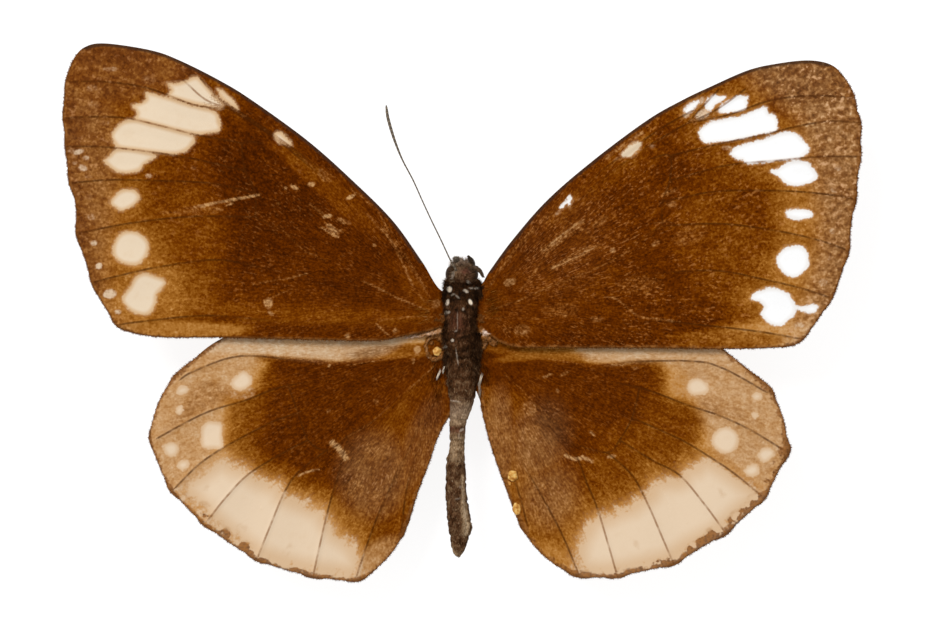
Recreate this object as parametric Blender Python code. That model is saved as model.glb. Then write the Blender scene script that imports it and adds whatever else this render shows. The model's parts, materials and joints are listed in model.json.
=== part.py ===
"""Small brown crow butterfly: a dried specimen with its wings spread flat, standing low on its four walking legs.

Sizes are millimetres until they reach a mesh, which is in metres. +X is the animal's right, +Y is towards the
head, +Z is up, and the soles rest on z = 0. The wings are drawn in plan, and a height function lifts them.
"""

import math

import bmesh
import bpy
from mathutils import Vector
from mathutils.geometry import delaunay_2d_cdt

MM = 0.001
GAP = 0.3

# The body: where its parts stand along Y, and how high.
BODY_X = -0.2
THORAX_Z = 5.5
THORAX_FRONT = 2.2
THORAX_BACK = -3.95
HEAD_CENTRE = (-0.05, 3.05, 5.85)
HEAD_RADII = (0.95, 0.92, 0.95)
EYE_OFFSET = 0.72
EYE_RADII = (0.6, 0.78, 0.8)
ABDOMEN_TIP = -19.62

# The wings: how high their roots sit, how they rise, and how thick they are.
WING_ROOT_X = 1.3
FOREWING_ROOT_Z = 6.35
WING_RISE = 0.105
WING_DROOP = 0.0012
WING_CUP = 0.0008
WING_HALF_THICKNESS = 0.25
VEIN_HALF_WIDTH = 0.32
VEIN_HEIGHT = 0.12
WING_STEP = 2.0 * (WING_HALF_THICKNESS + VEIN_HEIGHT) + GAP
RIM_STEP = 0.85
VEIN_STEP = 1.3
FIELD_STEP = 2.4
POINT_CLEARANCE = 0.28

# The antenna and legs: nothing is thinner than this radius, apart from the tips.
LEAST_RADIUS = 0.25

COLOURS = {
    "wing": (0.150, 0.055, 0.012),
    "body": (0.030, 0.017, 0.011),
    "abdomen": (0.060, 0.034, 0.020),
    "eye": (0.020, 0.012, 0.010),
    "limb": (0.022, 0.014, 0.010),
}

# Each forewing's edge in plan, from its root out along the front edge, round the apex, down the outer edge and
# back along the hind edge. The specimen's two sides are not mirror images, so each wing has its own landmarks.
FOREWING_LEFT_EDGE = (
    (0.4, 1.5), (-1.7, 1.8), (-3.3, 4.2), (-5.6, 7.4), (-8.8, 10.6), (-12.4, 13.8), (-16.8, 17.0),
    (-19.4, 18.6), (-22.7, 20.25), (-25.0, 21.05), (-28.6, 21.58), (-30.2, 21.3), (-31.1, 20.4),
    (-31.6, 19.1), (-31.95, 16.6), (-31.75, 13.2), (-31.5, 10.7), (-31.0, 8.8), (-30.85, 6.2),
    (-30.2, 4.2), (-29.45, 1.9), (-28.5, 0.25), (-27.7, -0.95), (-26.4, -1.6), (-24.0, -1.98),
    (-19.4, -2.0), (-13.0, -2.15), (-7.0, -2.35), (-4.4, -1.9), (-2.2, -0.9), (0.4, -0.6),
)
FOREWING_RIGHT_EDGE = (
    (-0.8, 1.5), (1.3, 1.8), (2.2, 3.45), (4.0, 5.85), (6.8, 9.05), (10.5, 12.25), (14.8, 15.45),
    (17.6, 17.05), (19.8, 18.1), (22.9, 19.45), (25.4, 20.0), (27.65, 20.22), (29.3, 19.95),
    (30.35, 19.2), (31.05, 18.1), (31.6, 16.2), (31.9, 14.6), (31.8, 12.2), (31.5, 9.4), (31.2, 7.5),
    (30.9, 5.05), (30.45, 3.4), (29.85, 1.8), (28.5, -0.55), (27.3, -2.0), (26.2, -2.65),
    (24.2, -2.86), (20.6, -2.93), (14.2, -2.85), (7.8, -2.7), (4.6, -2.35), (2.2, -1.3), (-0.8, -0.8),
)

# Each hindwing's edge in plan, from its root out along the front edge under the forewing, round the outer edge
# and back along the abdomen.
HINDWING_LEFT_EDGE = (
    (0.6, -1.6), (-1.8, -1.2), (-5.8, -0.5), (-11.4, -0.3), (-16.2, -0.8), (-19.6, -2.2),
    (-21.7, -3.8), (-23.4, -5.4), (-24.4, -7.0), (-25.0, -8.9), (-25.1, -10.2), (-24.6, -11.8),
    (-23.5, -14.1), (-21.2, -16.6), (-18.1, -18.95), (-14.8, -20.55), (-11.3, -21.35), (-9.4, -21.6),
    (-7.9, -21.35), (-6.7, -20.5), (-5.3, -18.9), (-4.6, -17.3), (-3.7, -14.9), (-2.7, -12.4),
    (-1.95, -10.2), (-1.2, -8.7), (0.0, -7.0), (0.6, -5.0),
)
HINDWING_RIGHT_EDGE = (
    (-1.0, -1.6), (1.6, -1.4), (4.6, -1.0), (9.4, -0.6), (15.0, -0.5), (19.0, -1.4), (21.2, -3.0),
    (23.0, -4.55), (24.85, -6.3), (25.8, -8.4), (26.1, -10.1), (26.2, -11.0), (25.5, -12.6),
    (24.1, -15.0), (21.6, -17.35), (19.4, -18.8), (17.0, -20.15), (14.2, -20.9), (11.2, -21.35),
    (9.4, -21.2), (7.5, -20.4), (5.8, -18.95), (4.85, -17.4), (3.9, -15.2), (2.9, -12.6),
    (2.1, -10.2), (1.6, -7.8), (1.25, -6.6), (0.4, -5.0), (-1.0, -4.4),
)

# The main veins of each wing in plan, root end first. A vein that forks off another starts on it.
FOREWING_LEFT_VEINS = {
    "subcosta": ((-2.2, 1.6), (-5.4, 5.6), (-8.9, 9.4), (-12.8, 12.6), (-17.2, 15.7), (-20.0, 17.4)),
    "radius": ((-2.2, 1.1), (-4.6, 4.0), (-7.8, 7.6), (-11.6, 11.2), (-15.6, 14.4), (-18.8, 16.4)),
    "radius_3": ((-18.8, 16.4), (-20.1, 17.7), (-21.0, 18.8)),
    "radius_4": ((-18.8, 16.4), (-20.6, 17.1), (-22.3, 18.6)),
    "radius_5": ((-18.8, 16.4), (-21.4, 16.65), (-25.2, 18.0), (-28.6, 18.5), (-31.4, 18.5)),
    "media_1": ((-17.6, 13.6), (-21.4, 14.3), (-24.2, 15.0), (-27.0, 15.6), (-29.6, 15.7), (-31.8, 15.6)),
    "media_2": ((-17.4, 11.4), (-21.8, 12.4), (-25.8, 13.0), (-29.0, 13.3), (-31.7, 13.3)),
    "media_3": ((-16.6, 9.6), (-20.2, 10.4), (-25.0, 10.6), (-28.2, 10.65), (-31.3, 10.4)),
    "cubitus": ((-2.4, 0.2), (-5.0, 1.0), (-8.0, 2.6), (-11.2, 4.3), (-13.9, 6.2), (-16.6, 7.7)),
    "cubitus_1": ((-16.6, 7.7), (-21.0, 7.75), (-24.2, 7.5), (-27.4, 7.05), (-30.6, 6.4)),
    "cubitus_2": ((-9.8, 3.5), (-14.2, 3.3), (-19.4, 4.25), (-24.2, 3.7), (-27.4, 3.0), (-29.7, 2.4)),
    "anal": ((-2.4, -0.25), (-6.6, -0.55), (-14.6, -0.6), (-20.4, -0.2), (-25.8, -0.7), (-27.5, -0.95)),
    "cell_end": ((-16.2, 13.6), (-17.6, 13.6), (-17.4, 11.4), (-16.6, 9.6), (-16.6, 7.7)),
}
FOREWING_RIGHT_VEINS = {
    "subcosta": ((1.7, 1.8), (4.4, 5.2), (7.6, 8.6), (11.4, 11.6), (15.6, 14.6), (18.4, 16.2)),
    "radius": ((1.8, 1.2), (3.6, 3.4), (6.8, 6.9), (10.6, 10.3), (14.6, 13.2), (18.0, 15.2)),
    "radius_3": ((18.0, 15.2), (19.3, 16.6), (20.5, 17.9)),
    "radius_4": ((18.0, 15.2), (20.2, 16.2), (22.6, 17.9)),
    "radius_5": ((18.0, 15.2), (21.4, 15.9), (24.6, 17.0), (28.0, 17.4), (31.2, 17.2)),
    "media_1": ((16.6, 12.6), (20.6, 13.55), (24.2, 14.3), (26.6, 14.9), (29.4, 15.35), (31.8, 15.2)),
    "media_2": ((16.6, 10.6), (21.0, 11.8), (25.2, 12.2), (28.6, 12.5), (31.7, 12.5)),
    "media_3": ((16.0, 8.9), (20.0, 9.7), (23.6, 9.8), (27.0, 9.7), (30.2, 9.35), (31.3, 9.1)),
    "cubitus": ((1.8, 0.4), (4.6, 1.2), (7.6, 2.5), (10.8, 3.9), (13.4, 5.5), (16.0, 7.0)),
    "cubitus_1": ((16.0, 7.0), (20.4, 7.15), (23.8, 6.8), (27.0, 6.2), (29.2, 5.6), (30.8, 5.0)),
    "cubitus_2": ((9.6, 3.3), (14.8, 3.2), (20.2, 3.4), (23.8, 2.75), (27.0, 2.0), (29.5, 1.2)),
    "anal": ((1.8, -0.4), (6.2, -0.9), (14.2, -0.6), (19.0, -0.95), (23.8, -1.5), (27.2, -2.1)),
    "cell_end": ((15.2, 12.4), (16.6, 12.6), (16.6, 10.6), (16.0, 8.9), (16.0, 7.0)),
}
HINDWING_LEFT_VEINS = {
    "subcosta": ((-2.3, -3.2), (-5.0, -3.55), (-9.8, -4.25), (-13.0, -3.85), (-17.8, -3.45),
                 (-21.4, -4.6), (-22.6, -5.3)),
    "radial": ((-3.4, -3.7), (-9.0, -5.0), (-14.4, -5.9), (-17.4, -7.0), (-20.6, -8.0), (-24.4, -10.0)),
    "media_1": ((-13.2, -8.0), (-15.4, -8.8), (-19.0, -10.7), (-21.2, -12.2), (-23.0, -14.0)),
    "media_2": ((-12.4, -10.2), (-13.8, -10.9), (-17.0, -12.8), (-18.9, -14.7), (-20.4, -16.6)),
    "media_3": ((-10.9, -11.0), (-13.2, -12.8), (-14.3, -14.4), (-15.4, -17.0), (-16.4, -19.5)),
    "cubital": ((-2.4, -4.3), (-4.2, -6.0), (-6.6, -8.2), (-9.0, -9.8), (-9.9, -12.7), (-10.9, -16.2),
                (-12.0, -21.1)),
    "cubital_2": ((-2.4, -6.4), (-4.4, -10.8), (-5.8, -14.0), (-7.1, -17.0), (-8.5, -21.1)),
    "anal": ((-1.9, -6.0), (-3.0, -8.6), (-4.0, -11.8), (-4.6, -14.8), (-4.9, -17.4)),
    "cell_end": ((-14.0, -5.8), (-13.2, -8.0), (-12.4, -10.2), (-10.9, -11.0), (-9.0, -9.8)),
}
HINDWING_RIGHT_VEINS = {
    "subcosta": ((1.9, -3.0), (3.4, -3.1), (8.2, -4.1), (10.7, -4.3), (13.2, -3.95), (18.3, -3.85),
                 (20.8, -4.4), (24.3, -6.3)),
    "radial": ((3.0, -3.5), (9.0, -5.0), (14.2, -6.0), (18.1, -7.4), (20.8, -8.3), (23.3, -9.5),
               (25.9, -11.1)),
    "media_1": ((13.6, -8.4), (17.4, -10.1), (19.6, -11.4), (21.7, -12.8), (23.9, -14.6)),
    "media_2": ((12.6, -10.2), (15.2, -11.8), (17.4, -13.0), (19.3, -15.2), (21.0, -17.5)),
    "media_3": ((11.6, -11.2), (13.6, -13.0), (14.9, -15.4), (15.9, -17.7), (16.9, -20.0)),
    "cubital": ((2.0, -4.2), (3.6, -6.0), (6.0, -8.2), (8.6, -10.4), (10.0, -13.7), (10.9, -15.9),
                (12.4, -21.0)),
    "cubital_2": ((2.0, -6.4), (4.2, -11.0), (6.2, -14.4), (8.0, -17.8), (9.3, -20.9)),
    "anal": ((1.7, -6.4), (2.6, -8.8), (3.6, -11.8), (4.5, -14.4), (5.2, -17.0)),
    "cell_end": ((14.2, -6.0), (13.6, -8.4), (12.6, -10.2), (11.6, -11.2), (8.6, -10.4)),
}

# The abdomen's stations: y, centre x, half width, half depth, centre z. Its waist is shrunken and its end swollen.
ABDOMEN_STATIONS = (
    (-2.6, -0.12, 1.00, 0.95, 5.35),
    (-4.2, -0.10, 1.24, 1.15, 5.30),
    (-5.6, -0.05, 1.28, 1.20, 5.25),
    (-6.7, -0.06, 1.14, 1.12, 5.20),
    (-7.7, -0.18, 0.95, 1.02, 5.15),
    (-8.7, -0.34, 0.77, 0.93, 5.08),
    (-9.7, -0.42, 0.68, 0.85, 5.02),
    (-11.0, -0.45, 0.67, 0.80, 4.95),
    (-12.0, -0.54, 0.82, 0.82, 4.88),
    (-13.5, -0.54, 0.87, 0.86, 4.80),
    (-15.0, -0.48, 0.93, 0.88, 4.70),
    (-16.5, -0.30, 0.97, 0.88, 4.60),
    (-17.4, -0.19, 0.94, 0.82, 4.52),
    (-18.2, -0.27, 0.75, 0.70, 4.45),
    (-19.0, -0.34, 0.50, 0.48, 4.40),
    (ABDOMEN_TIP, -0.34, 0.12, 0.12, 4.38),
)
SEGMENT_ENDS = (-5.2, -6.9, -8.6, -10.3, -12.0, -13.6, -15.2, -16.8, -18.0)
SEGMENT_GROOVE = 0.07
SEGMENT_GROOVE_WIDTH = 0.16

# The thorax's stations: y, half width, half depth.
THORAX_STATIONS = (
    (THORAX_FRONT, 0.30, 0.35),
    (2.0, 0.72, 0.85),
    (1.6, 1.06, 1.22),
    (0.9, 1.30, 1.58),
    (0.0, 1.44, 1.78),
    (-1.0, 1.50, 1.85),
    (-2.0, 1.45, 1.78),
    (-2.9, 1.28, 1.52),
    (-3.5, 1.00, 1.18),
    (-3.82, 0.66, 0.78),
    (THORAX_BACK, 0.30, 0.35),
)

# The legs, right side, as points from inside the thorax to the toe. The sole is cut flat at z = 0.
SOLE_RADIUS = 0.27
SOLE_CENTRE_Z = 0.2
LEGS = {
    "midleg": (
        (0.5, -0.8, 4.4, 0.34), (1.25, -0.75, 3.4, 0.34), (1.7, -0.5, 3.1, 0.27), (3.0, 0.4, 3.75, 0.33),
        (4.5, 1.35, 4.3, 0.27), (5.1, 1.6, 3.9, 0.26), (6.3, 2.2, 2.2, 0.25), (7.4, 2.8, 0.62, 0.27),
        (8.2, 3.2, SOLE_CENTRE_Z, SOLE_RADIUS), (10.2, 4.1, SOLE_CENTRE_Z, SOLE_RADIUS),
    ),
    "hindleg": (
        (0.5, -2.5, 4.4, 0.34), (1.15, -2.6, 3.45, 0.34), (1.6, -2.9, 3.1, 0.27), (2.8, -4.1, 3.6, 0.33),
        (4.0, -5.3, 4.05, 0.27), (4.5, -5.8, 3.65, 0.26), (5.6, -7.2, 2.1, 0.25), (6.6, -8.4, 0.62, 0.27),
        (7.2, -9.1, SOLE_CENTRE_Z, SOLE_RADIUS), (8.7, -10.8, SOLE_CENTRE_Z, SOLE_RADIUS),
    ),
    "foreleg": (
        (0.45, 0.8, 4.5, 0.30), (0.75, 1.1, 3.75, 0.28), (0.92, 1.7, 3.45, 0.27), (1.0, 2.5, 3.6, 0.25),
        (1.02, 2.85, 3.35, 0.24), (0.95, 2.6, 2.95, 0.22), (0.85, 1.9, 2.7, 0.18),
    ),
}

# The feelers and mouthparts as points with a radius, from inside the head outwards.
ANTENNA_LEFT = (
    (-0.40, 3.0, 6.20, 0.27), (-0.60, 3.60, 6.75, 0.26), (-1.00, 4.30, 7.10, 0.25), (-1.72, 5.84, 7.45, 0.25),
    (-2.50, 7.44, 7.75, 0.25), (-3.24, 9.04, 8.00, 0.25), (-3.96, 10.64, 8.20, 0.25), (-4.80, 12.24, 8.38, 0.25),
    (-5.44, 13.84, 8.50, 0.27), (-5.92, 15.44, 8.56, 0.28), (-6.10, 16.30, 8.58, 0.24),
)
ANTENNA_STUB_RIGHT = (
    (0.30, 3.3, 6.20, 0.25), (0.62, 3.75, 6.72, 0.24), (1.00, 3.85, 6.92, 0.22), (1.35, 3.50, 6.94, 0.20),
    (1.58, 3.05, 6.88, 0.15),
)
PALP_LEFT = (
    (-0.42, 3.5, 4.95, 0.25), (-0.45, 4.22, 4.95, 0.27), (-0.50, 4.44, 5.45, 0.26), (-0.58, 4.42, 6.0, 0.20),
    (-0.68, 4.42, 6.35, 0.09),
)
PALP_RIGHT = (
    (0.42, 3.5, 4.95, 0.25), (0.47, 4.24, 4.95, 0.28), (0.52, 4.48, 5.45, 0.28), (0.50, 4.50, 6.0, 0.22),
    (0.42, 4.62, 6.4, 0.09),
)
PROBOSCIS_ROOT = (-0.02, 3.2, 5.2)
PROBOSCIS_CENTRE = (-0.02, 3.75, 3.75)
PROBOSCIS_RADIUS = 0.58
PROBOSCIS_TURN = math.radians(290.0)
PROBOSCIS_STEPS = 12


def clear_scene():
    for item in list(bpy.data.objects):
        bpy.data.objects.remove(item)


def make_material(name, colour, roughness):
    material = bpy.data.materials.new(name)
    material.use_nodes = True
    shader = material.node_tree.nodes["Principled BSDF"]
    shader.inputs["Base Color"].default_value = (*colour, 1.0)
    shader.inputs["Roughness"].default_value = roughness
    shader.inputs["Metallic"].default_value = 0.0
    return material


def object_from_bmesh(name, mesh_builder):
    """Turn a bmesh in millimetres into an object in metres."""
    bmesh.ops.recalc_face_normals(mesh_builder, faces=mesh_builder.faces)
    bmesh.ops.scale(mesh_builder, vec=(MM, MM, MM), verts=mesh_builder.verts)
    mesh = bpy.data.meshes.new(name)
    mesh_builder.to_mesh(mesh)
    mesh_builder.free()
    item = bpy.data.objects.new(name, mesh)
    bpy.context.collection.objects.link(item)
    return item


def catmull_rom(points, step, closed=False):
    """Read points about one step apart from a smooth curve through the given ones."""
    count = len(points)
    spans = count if closed else count - 1
    result = []
    for index in range(spans):
        if closed:
            four = [Vector(points[(index + shift) % count]) for shift in (-1, 0, 1, 2)]
        else:
            four = [Vector(points[min(max(index + shift, 0), count - 1)]) for shift in (-1, 0, 1, 2)]
        before, start, end, after = four
        cuts = max(1, round((end - start).length / step))
        for cut in range(cuts):
            t = cut / cuts
            bend = (end - before) * t
            bend += (before * 2.0 - start * 5.0 + end * 4.0 - after) * t * t
            bend += (start * 3.0 - before - end * 3.0 + after) * t ** 3
            result.append(start + bend * 0.5)
    if not closed:
        result.append(Vector(points[-1]))
    return result


def loft(name, rings, sides, flat_ends=False):
    """Skin elliptical rings that stand across Y: each is y, centre x, centre z, half width, half depth."""
    builder = bmesh.new()
    loops = []
    for y, centre_x, centre_z, half_width, half_depth in rings:
        loop = []
        for side in range(sides):
            angle = 2.0 * math.pi * side / sides
            x = centre_x + half_width * math.cos(angle)
            z = centre_z + half_depth * math.sin(angle)
            loop.append(builder.verts.new((x, y, z)))
        loops.append(loop)
    for first, second in zip(loops, loops[1:]):
        for side in range(sides):
            after = (side + 1) % sides
            builder.faces.new((first[side], first[after], second[after], second[side]))
    for loop in (loops[0], loops[-1]):
        builder.faces.new(loop)
    if not flat_ends:
        ends = [face for face in builder.faces if len(face.verts) == sides]
        bmesh.ops.poke(builder, faces=ends)
    return object_from_bmesh(name, builder)


def sweep(name, stations, sides):
    """Skin a tube along stations of x, y, z, radius, with mitred rings and domed ends."""
    points = [Vector(station[:3]) for station in stations]
    radii = [station[3] for station in stations]
    first_step = (points[1] - points[0]).normalized()
    last_step = (points[-1] - points[-2]).normalized()
    points = [points[0] - first_step * radii[0] * 0.35] + points + [points[-1] + last_step * radii[-1] * 0.35]
    radii = [radii[0] * 0.6] + radii + [radii[-1] * 0.6]
    across = first_step.orthogonal().normalized()
    builder = bmesh.new()
    loops = []
    for index, (point, radius) in enumerate(zip(points, radii)):
        before = points[max(index - 1, 0)]
        after = points[min(index + 1, len(points) - 1)]
        incoming = (point - before).normalized() if index else first_step
        outgoing = (after - point).normalized() if index < len(points) - 1 else last_step
        along = (incoming + outgoing).normalized()
        across = (across - along * across.dot(along)).normalized()
        upward = along.cross(across)
        loop = []
        for side in range(sides):
            angle = 2.0 * math.pi * (side + 0.5) / sides
            loop.append(builder.verts.new(point + (across * math.cos(angle) + upward * math.sin(angle)) * radius))
        loops.append(loop)
    for first, second in zip(loops, loops[1:]):
        for side in range(sides):
            after = (side + 1) % sides
            builder.faces.new((first[side], first[after], second[after], second[side]))
    for loop in (loops[0], loops[-1]):
        builder.faces.new(loop)
    return object_from_bmesh(name, builder)


def ellipsoid(name, centre, radii, segments=16, rings=10):
    builder = bmesh.new()
    bmesh.ops.create_uvsphere(builder, u_segments=segments, v_segments=rings, radius=1.0)
    bmesh.ops.scale(builder, vec=radii, verts=builder.verts)
    bmesh.ops.translate(builder, vec=centre, verts=builder.verts)
    return object_from_bmesh(name, builder)


def combine(item, tool, operation, solver="EXACT"):
    """Apply one Boolean to an object and remove the tool."""
    modifier = item.modifiers.new(operation.lower(), "BOOLEAN")
    modifier.operation = operation
    modifier.solver = solver
    modifier.object = tool
    with bpy.context.temp_override(object=item, active_object=item):
        bpy.ops.object.modifier_apply(modifier=modifier.name)
    bpy.data.objects.remove(tool)


def keep_largest_body(item):
    """Drop every loose scrap, so that the node is one closed surface."""
    builder = bmesh.new()
    builder.from_mesh(item.data)
    builder.faces.ensure_lookup_table()
    unseen = set(builder.faces)
    bodies = []
    while unseen:
        front = [unseen.pop()]
        body = list(front)
        while front:
            face = front.pop()
            for edge in face.edges:
                for other in edge.link_faces:
                    if other in unseen:
                        unseen.remove(other)
                        front.append(other)
                        body.append(other)
        bodies.append(body)
    bodies.sort(key=lambda body: sum(face.calc_area() for face in body))
    scraps = [face for body in bodies[:-1] for face in body]
    bmesh.ops.delete(builder, geom=scraps, context="FACES")
    builder.to_mesh(item.data)
    builder.free()


def trim_against(item, cutters):
    """Cut an object clear of its neighbours, whose cutters are already grown by the gap."""
    for cutter in cutters:
        combine(item, cutter, "DIFFERENCE")
    keep_largest_body(item)


def finish(item, colour_name, roughness, sharp_degrees=50.0):
    item.data.materials.clear()
    item.data.materials.append(make_material(item.name + "_finish", COLOURS[colour_name], roughness))
    item.data.shade_smooth()
    item.data.set_sharp_from_angle(angle=math.radians(sharp_degrees))
    return item


def interpolate(stations, y):
    """Read a station table, ordered by falling y, at any y between its ends."""
    for upper, lower in zip(stations, stations[1:]):
        if upper[0] >= y >= lower[0]:
            share = (upper[0] - y) / (upper[0] - lower[0])
            return [a + (b - a) * share for a, b in zip(upper, lower)]
    return list(stations[-1] if y < stations[-1][0] else stations[0])


def thorax_core(grow=0.0):
    middle = (THORAX_FRONT + THORAX_BACK) / 2.0
    reach = (THORAX_FRONT - THORAX_BACK) / 2.0
    rings = []
    for y, half_width, half_depth in THORAX_STATIONS:
        grown_y = middle + (y - middle) * (reach + grow) / reach
        rings.append((grown_y, BODY_X, THORAX_Z, half_width + grow, half_depth + grow))
    return loft("thorax", rings, 20)


# The lobes fused to the thorax: centre and radii. The collar stands behind the head, a tegula covers each
# forewing's root, and the scutellum is the small shield at the back.
THORAX_LOBES = (
    ((BODY_X, 1.55, 6.1), (0.95, 0.50, 0.85)),
    ((BODY_X - 0.92, 0.75, 6.55), (0.38, 1.00, 0.42)),
    ((BODY_X + 0.92, 0.75, 6.55), (0.38, 1.00, 0.42)),
    ((BODY_X, -2.55, 6.75), (0.80, 0.75, 0.42)),
)


def thorax_pieces(grow=0.0):
    pieces = [thorax_core(grow)]
    for centre, radii in THORAX_LOBES:
        pieces.append(ellipsoid("lobe", centre, [radius + grow for radius in radii], 12, 8))
    return pieces


def make_thorax():
    thorax, *lobes = thorax_pieces()
    for lobe in lobes:
        combine(thorax, lobe, "UNION")
    keep_largest_body(thorax)
    return finish(thorax, "body", 0.8)


def abdomen_rings(grow=0.0, grooves=True):
    """Read the abdomen's rings: a swelling and a groove for each segment, or the plain form for a cutter."""
    edges = [ABDOMEN_STATIONS[0][0], *SEGMENT_ENDS, ABDOMEN_TIP]
    rings = []
    for start, end in zip(edges, edges[1:]):
        for share in (0.1, 0.5, 0.9):
            y, x, half_width, half_depth, z = interpolate(ABDOMEN_STATIONS, start + (end - start) * share)
            rings.append((y, x, z, half_width + grow, half_depth + grow))
        if grooves and end != ABDOMEN_TIP:
            y, x, half_width, half_depth, z = interpolate(ABDOMEN_STATIONS, end)
            rings.append((y, x, z, half_width - SEGMENT_GROOVE, half_depth - SEGMENT_GROOVE))
    y, x, half_width, half_depth, z = ABDOMEN_STATIONS[-1]
    rings.append((y - grow, x, z, half_width + grow * 0.5, half_depth + grow * 0.5))
    return rings


def make_abdomen():
    abdomen = loft("abdomen", abdomen_rings(), 16)
    trim_against(abdomen, thorax_pieces(GAP))
    return finish(abdomen, "abdomen", 0.75, 40.0)


def eye(name, side, grow=0.0):
    """Make the outer half of an ellipsoid, whose flat inner face meets the head's socket."""
    centre = Vector(HEAD_CENTRE) + Vector((side * EYE_OFFSET, 0.05, 0.0))
    builder = bmesh.new()
    bmesh.ops.create_uvsphere(builder, u_segments=16, v_segments=12, radius=1.0)
    bmesh.ops.scale(builder, vec=[radius + grow for radius in EYE_RADII], verts=builder.verts)
    bmesh.ops.translate(builder, vec=centre, verts=builder.verts)
    inner = centre - Vector((side * grow, 0.0, 0.0))
    geometry = builder.verts[:] + builder.edges[:] + builder.faces[:]
    cut = bmesh.ops.bisect_plane(
        builder, geom=geometry, plane_co=inner, plane_no=(-side, 0.0, 0.0), clear_outer=True)
    rim = [part for part in cut["geom_cut"] if isinstance(part, bmesh.types.BMEdge)]
    bmesh.ops.holes_fill(builder, edges=rim)
    return object_from_bmesh(name, builder)


def head_form(grow=0.0):
    return ellipsoid("head", HEAD_CENTRE, [radius + grow for radius in HEAD_RADII], 20, 14)


def make_head():
    head = head_form()
    trim_against(head, thorax_pieces(GAP) + [eye("socket", side, GAP) for side in (-1, 1)])
    finish(head, "body", 0.8)
    for name, side in (("eye_left", -1), ("eye_right", 1)):
        finish(eye(name, side), "eye", 0.35)


def make_proboscis():
    """Curl the tongue into one open turn under the head, thinning to its tip."""
    root = Vector(PROBOSCIS_ROOT)
    centre = Vector(PROBOSCIS_CENTRE)
    stations = [(*root, LEAST_RADIUS)]
    for step in range(PROBOSCIS_STEPS + 1):
        share = step / PROBOSCIS_STEPS
        angle = math.radians(150.0) - PROBOSCIS_TURN * share
        radius = PROBOSCIS_RADIUS * (1.0 - 0.35 * share)
        point = centre + Vector((0.0, math.cos(angle), math.sin(angle))) * radius
        stations.append((*point, LEAST_RADIUS * (1.0 - 0.4 * share)))
    return sweep("proboscis", stations, 8)


def make_head_limbs():
    parts = {
        "antenna_left": sweep("antenna_left", catmull_stations(ANTENNA_LEFT, 0.9), 8),
        "antenna_stub_right": sweep("antenna_stub_right", ANTENNA_STUB_RIGHT, 8),
        "palp_left": sweep("palp_left", PALP_LEFT, 8),
        "palp_right": sweep("palp_right", PALP_RIGHT, 8),
        "proboscis": make_proboscis(),
    }
    for item in parts.values():
        trim_against(item, [head_form(GAP)])
        finish(item, "limb", 0.6)


def catmull_stations(stations, step):
    """Smooth the places and radii of a limb's stations together."""
    return [tuple(point) for point in catmull_rom([Vector(station) for station in stations], step)]


def mirrored(stations, side):
    """Reflect a right limb's stations through the thorax's middle plane."""
    return [(BODY_X + side * (x - BODY_X), y, z, radius) for x, y, z, radius in stations]


def make_leg(name, stations):
    leg = sweep(name, stations, 8)
    builder = bmesh.new()
    builder.from_mesh(leg.data)
    geometry = builder.verts[:] + builder.edges[:] + builder.faces[:]
    cut = bmesh.ops.bisect_plane(
        builder, geom=geometry, plane_co=(0.0, 0.0, 0.0), plane_no=(0.0, 0.0, -1.0), clear_outer=True)
    rim = [part for part in cut["geom_cut"] if isinstance(part, bmesh.types.BMEdge)]
    if rim:
        bmesh.ops.holes_fill(builder, edges=rim)
    builder.to_mesh(leg.data)
    builder.free()
    trim_against(leg, thorax_pieces(GAP))
    return finish(leg, "limb", 0.6)


def distance_to_path(point, path):
    """Measure the shortest way in plan from a point to a run of straight lengths."""
    least = math.inf
    for start, end in zip(path, path[1:]):
        span = end - start
        share = max(0.0, min(1.0, (point - start).dot(span) / span.length_squared))
        least = min(least, (point - start - span * share).length)
    return least


def inside(point, rim):
    crossings = 0
    for start, end in zip(rim, rim[1:] + rim[:1]):
        if (start.y > point.y) != (end.y > point.y):
            x = start.x + (point.y - start.y) / (end.y - start.y) * (end.x - start.x)
            crossings += x > point.x
    return crossings % 2 == 1


def wing_height(x, y):
    """The forewings' middle surface: rising from the root, drooping to the tip, cupped fore and aft."""
    reach = abs(x) - WING_ROOT_X
    return FOREWING_ROOT_Z + WING_RISE * reach - WING_DROOP * reach * reach - WING_CUP * y * y


def far_from(point, others, least):
    return all((point - other).length >= least for other in others)


def nearest(point, places):
    return min(range(len(places)), key=lambda index: (point - places[index]).length)


def place_veins(places, links, paths, rim):
    """Add each vein's crest as linked points, sharing a point where veins fork and where one meets the rim."""
    for path in paths:
        previous = None
        for point in path:
            if inside(point, rim) and far_from(point, places, POINT_CLEARANCE):
                places.append(point)
                current = len(places) - 1
            else:
                current = nearest(point, places if inside(point, rim) else rim)
            if previous is not None and previous != current:
                links.append((previous, current))
            previous = current


def place_vein_feet(places, links, paths, rim):
    """Add the two lines where each vein's ridge meets the membrane, broken where veins run together."""
    clearance = VEIN_HALF_WIDTH * 0.95
    for path in paths:
        previous = {1.0: None, -1.0: None}
        for start, end in zip(path, path[1:]):
            across = (end - start).normalized().orthogonal() * VEIN_HALF_WIDTH
            for side in previous:
                point = (start + end) / 2.0 + across * side
                clear = min(distance_to_path(point, other) for other in paths) > clearance
                if clear and inside(point, rim) and far_from(point, places, clearance):
                    places.append(point)
                    current = len(places) - 1
                    if previous[side] is not None:
                        links.append((previous[side], current))
                    previous[side] = current
                else:
                    previous[side] = None


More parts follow.
